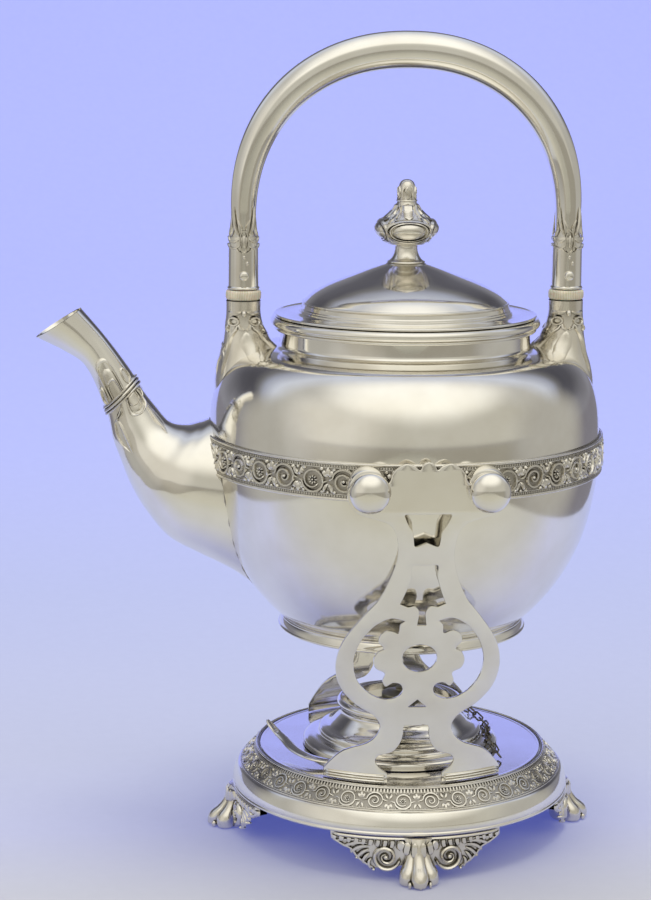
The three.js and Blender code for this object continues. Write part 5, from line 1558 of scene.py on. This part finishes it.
def foot_relief():
    """The carving of one foot, flat in metres: volutes, acanthus, beads and a row of hanging leaves."""
    bm = bmesh.new()
    top = FOOT_TOP / MM
    rail = [(x * MM, (top - 0.8) * MM) for x in (-34.9, 0, 34.9)]
    stroke(bm, rail, 1.6 * MM, 1.3 * MM, (1, 1), steps=48)
    coil = spiral(-13.2, 10.2, 0.9, 5.9, -1.8 * TURN, 1.8, 40)
    for mirror in (-1, 1):
        for route, width, proud, shares in ACANTHUS:
            drawn(bm, route, width, proud, shares, 0.15, 6, mirror)
        volute = [Vector((-p.x * mirror, p.y)) * MM for p in coil]
        stroke(bm, volute, 1.7 * MM, 2.3 * MM, (0.5, 0.8, 0.9, 1, 1.1, 0.9), 0.1)
        for leaf in range(11):
            x, length = 4.6 + 2.9 * leaf, 4.6 - 0.24 * leaf
            fall = [(x, top - 1.2), (x + 0.2, top - 1.2 - length * 0.5), (x + 0.9, top - 1.2 - length)]
            drawn(bm, fall, 2.7, 1.5, (0.8, 1, 1, 0.9, 0.3), 0.4, 6, mirror)
        for x, y, wide, tall, proud, steps in ((13.2, 10.2, 1.3, 1.3, 2.6, 12), (18, 4.6, 0.9, 0.8, 1.6, 8),
                                               (24.9, 9.1, 0.7, 0.7, 1.6, 8)):
            boss(bm, mirror * x * MM, y * MM, wide * MM, tall * MM, proud * MM, steps)
    return as_mesh(bm)


def leaf_collar():
    """Six tongues of leaf that hang over the top of the paw, flat in metres."""
    bm = bmesh.new()
    top = FOOT_TOP / MM - 1.4
    for x, length in ((-7.4, 4.2), (-5, 5.6), (-1.9, 6.6), (1.9, 6.6), (5, 5.6), (7.4, 4.2)):
        fall = [(0.85 * x, top), (x, top - 0.6 * length), (1.04 * x, top - length)]
        drawn(bm, fall, 2.9, 1.1, (0.8, 1, 1, 0.9, 0.4), 0.35)
    return as_mesh(bm)


CLAW_BEARINGS = [radians(degrees) for degrees in (-72, -36, 0, 36, 72)]


def make_feet():
    paw = smooth(PAW_SHARES, 5)
    edge = smooth(APRON_SHARES, 6)
    relief, collar = foot_relief(), leaf_collar()

    def lower_edge(across):
        for before, after in zip(edge, edge[1:]):
            if before[0] <= across <= after[0] and after[0] > before[0]:
                share = (across - before[0]) / (after[0] - before[0])
                return before[1] + (after[1] - before[1]) * share
        return edge[-1][1]

    def toe_form(angle, up):
        """How much the paw swells: toes over the front, with knuckles low and middle."""
        facing = max(0, cos(angle / 2)) ** 0.5 if abs(angle) < 2 else 0
        ridge = abs(cos(angle * 2.5)) ** 0.7 - 0.66
        knuckle = 0.05 * sin(up * 3 * pi)
        return 1 + facing * ((0.42 - 0.26 * up) * ridge + knuckle)

    for index, name in enumerate(("front", "right", "back", "left")):
        turn = Matrix.Rotation(index * pi / 2, 3, "Z")

        def paw_place(u, v):
            up, deep, wide, lean = between(paw, v)
            angle = u * TURN if u < 0.5 else (u - 1) * TURN
            form = toe_form(angle, up)
            out = PAW_REACH + (lean + form * deep * cos(angle)) * PAW_HALF_DEPTH
            if v in (0, 1):
                return turn @ Vector((0, -PAW_REACH - lean * PAW_HALF_DEPTH, up * FOOT_TOP))
            return turn @ Vector((form * wide * PAW_HALF_WIDTH * sin(angle), -out, up * FOOT_TOP))

        def apron_place(u, v):
            across = 2 * v - 1
            bottom = lower_edge(abs(across))
            front = 0.8
            back = (u - front) / (1 - front)
            up = bottom + (1 - bottom) * u / front if back < 0 else 1 + (bottom - 1) * back
            out = -3 * MM if 0.001 < back < 0.999 else 0
            x = across * APRON_HALF_WIDTH
            return turn @ Vector((x, -sqrt(APRON_REACH ** 2 - x ** 2) - out, up * FOOT_TOP))

        def relief_place(co):
            return turn @ Vector((co.x, -sqrt(APRON_REACH ** 2 - co.x ** 2) - co.z, co.y))

        def collar_place(co):
            swell = 3.4 * MM * max(0, cos(co.x / (9.5 * MM) * pi / 2))
            fall = 1.4 * MM * (FOOT_TOP - co.y) / FOOT_TOP
            return turn @ Vector((co.x, -sqrt(APRON_REACH ** 2 - co.x ** 2) - swell - fall - co.z, co.y))

        bm = bmesh.new()
        wrapped(bm, 100, 56, paw_place)
        wrapped(bm, 25, 96, apron_place)
        joined(bm, relief, relief_place)
        joined(bm, collar, collar_place)
        for angle in CLAW_BEARINGS:
            spot = Vector((sin(angle) * PAW_HALF_WIDTH * 0.98,
                           -PAW_REACH - cos(angle) * PAW_HALF_DEPTH * 1.04, 1.5 * MM))
            for vert in bmesh.ops.create_uvsphere(bm, u_segments=10, v_segments=6, radius=MM)["verts"]:
                vert.co = turn @ (spot + vert.co * Vector((0.8, 1.1, 1.4)))
        piece(f"paw_{name}", bm, "stand", [CAST], [f"foot_{name}"])


make_camera()
make_stage()
make_world()
make_light()
make_base_plate()
make_base_rim()
make_base_band()
make_body()
make_belt()
make_mouth_rim()
make_lid()
make_finial()
make_spout()
make_strap()
make_sockets()
make_ivory_rings()
make_ferrules()
make_handle()
make_calyxes()
make_pins()
for row, turn in ROWS:
    make_upright(row, turn)
for row, turn in ROWS:
    make_steps(row, turn)
make_hinge()
make_lamp()
make_lamp_handle()
make_feet()

for name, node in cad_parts.items():
    node.data.materials.clear()
    node.data.materials.append(TARNISHED if name.startswith("chain") else POLISHED)
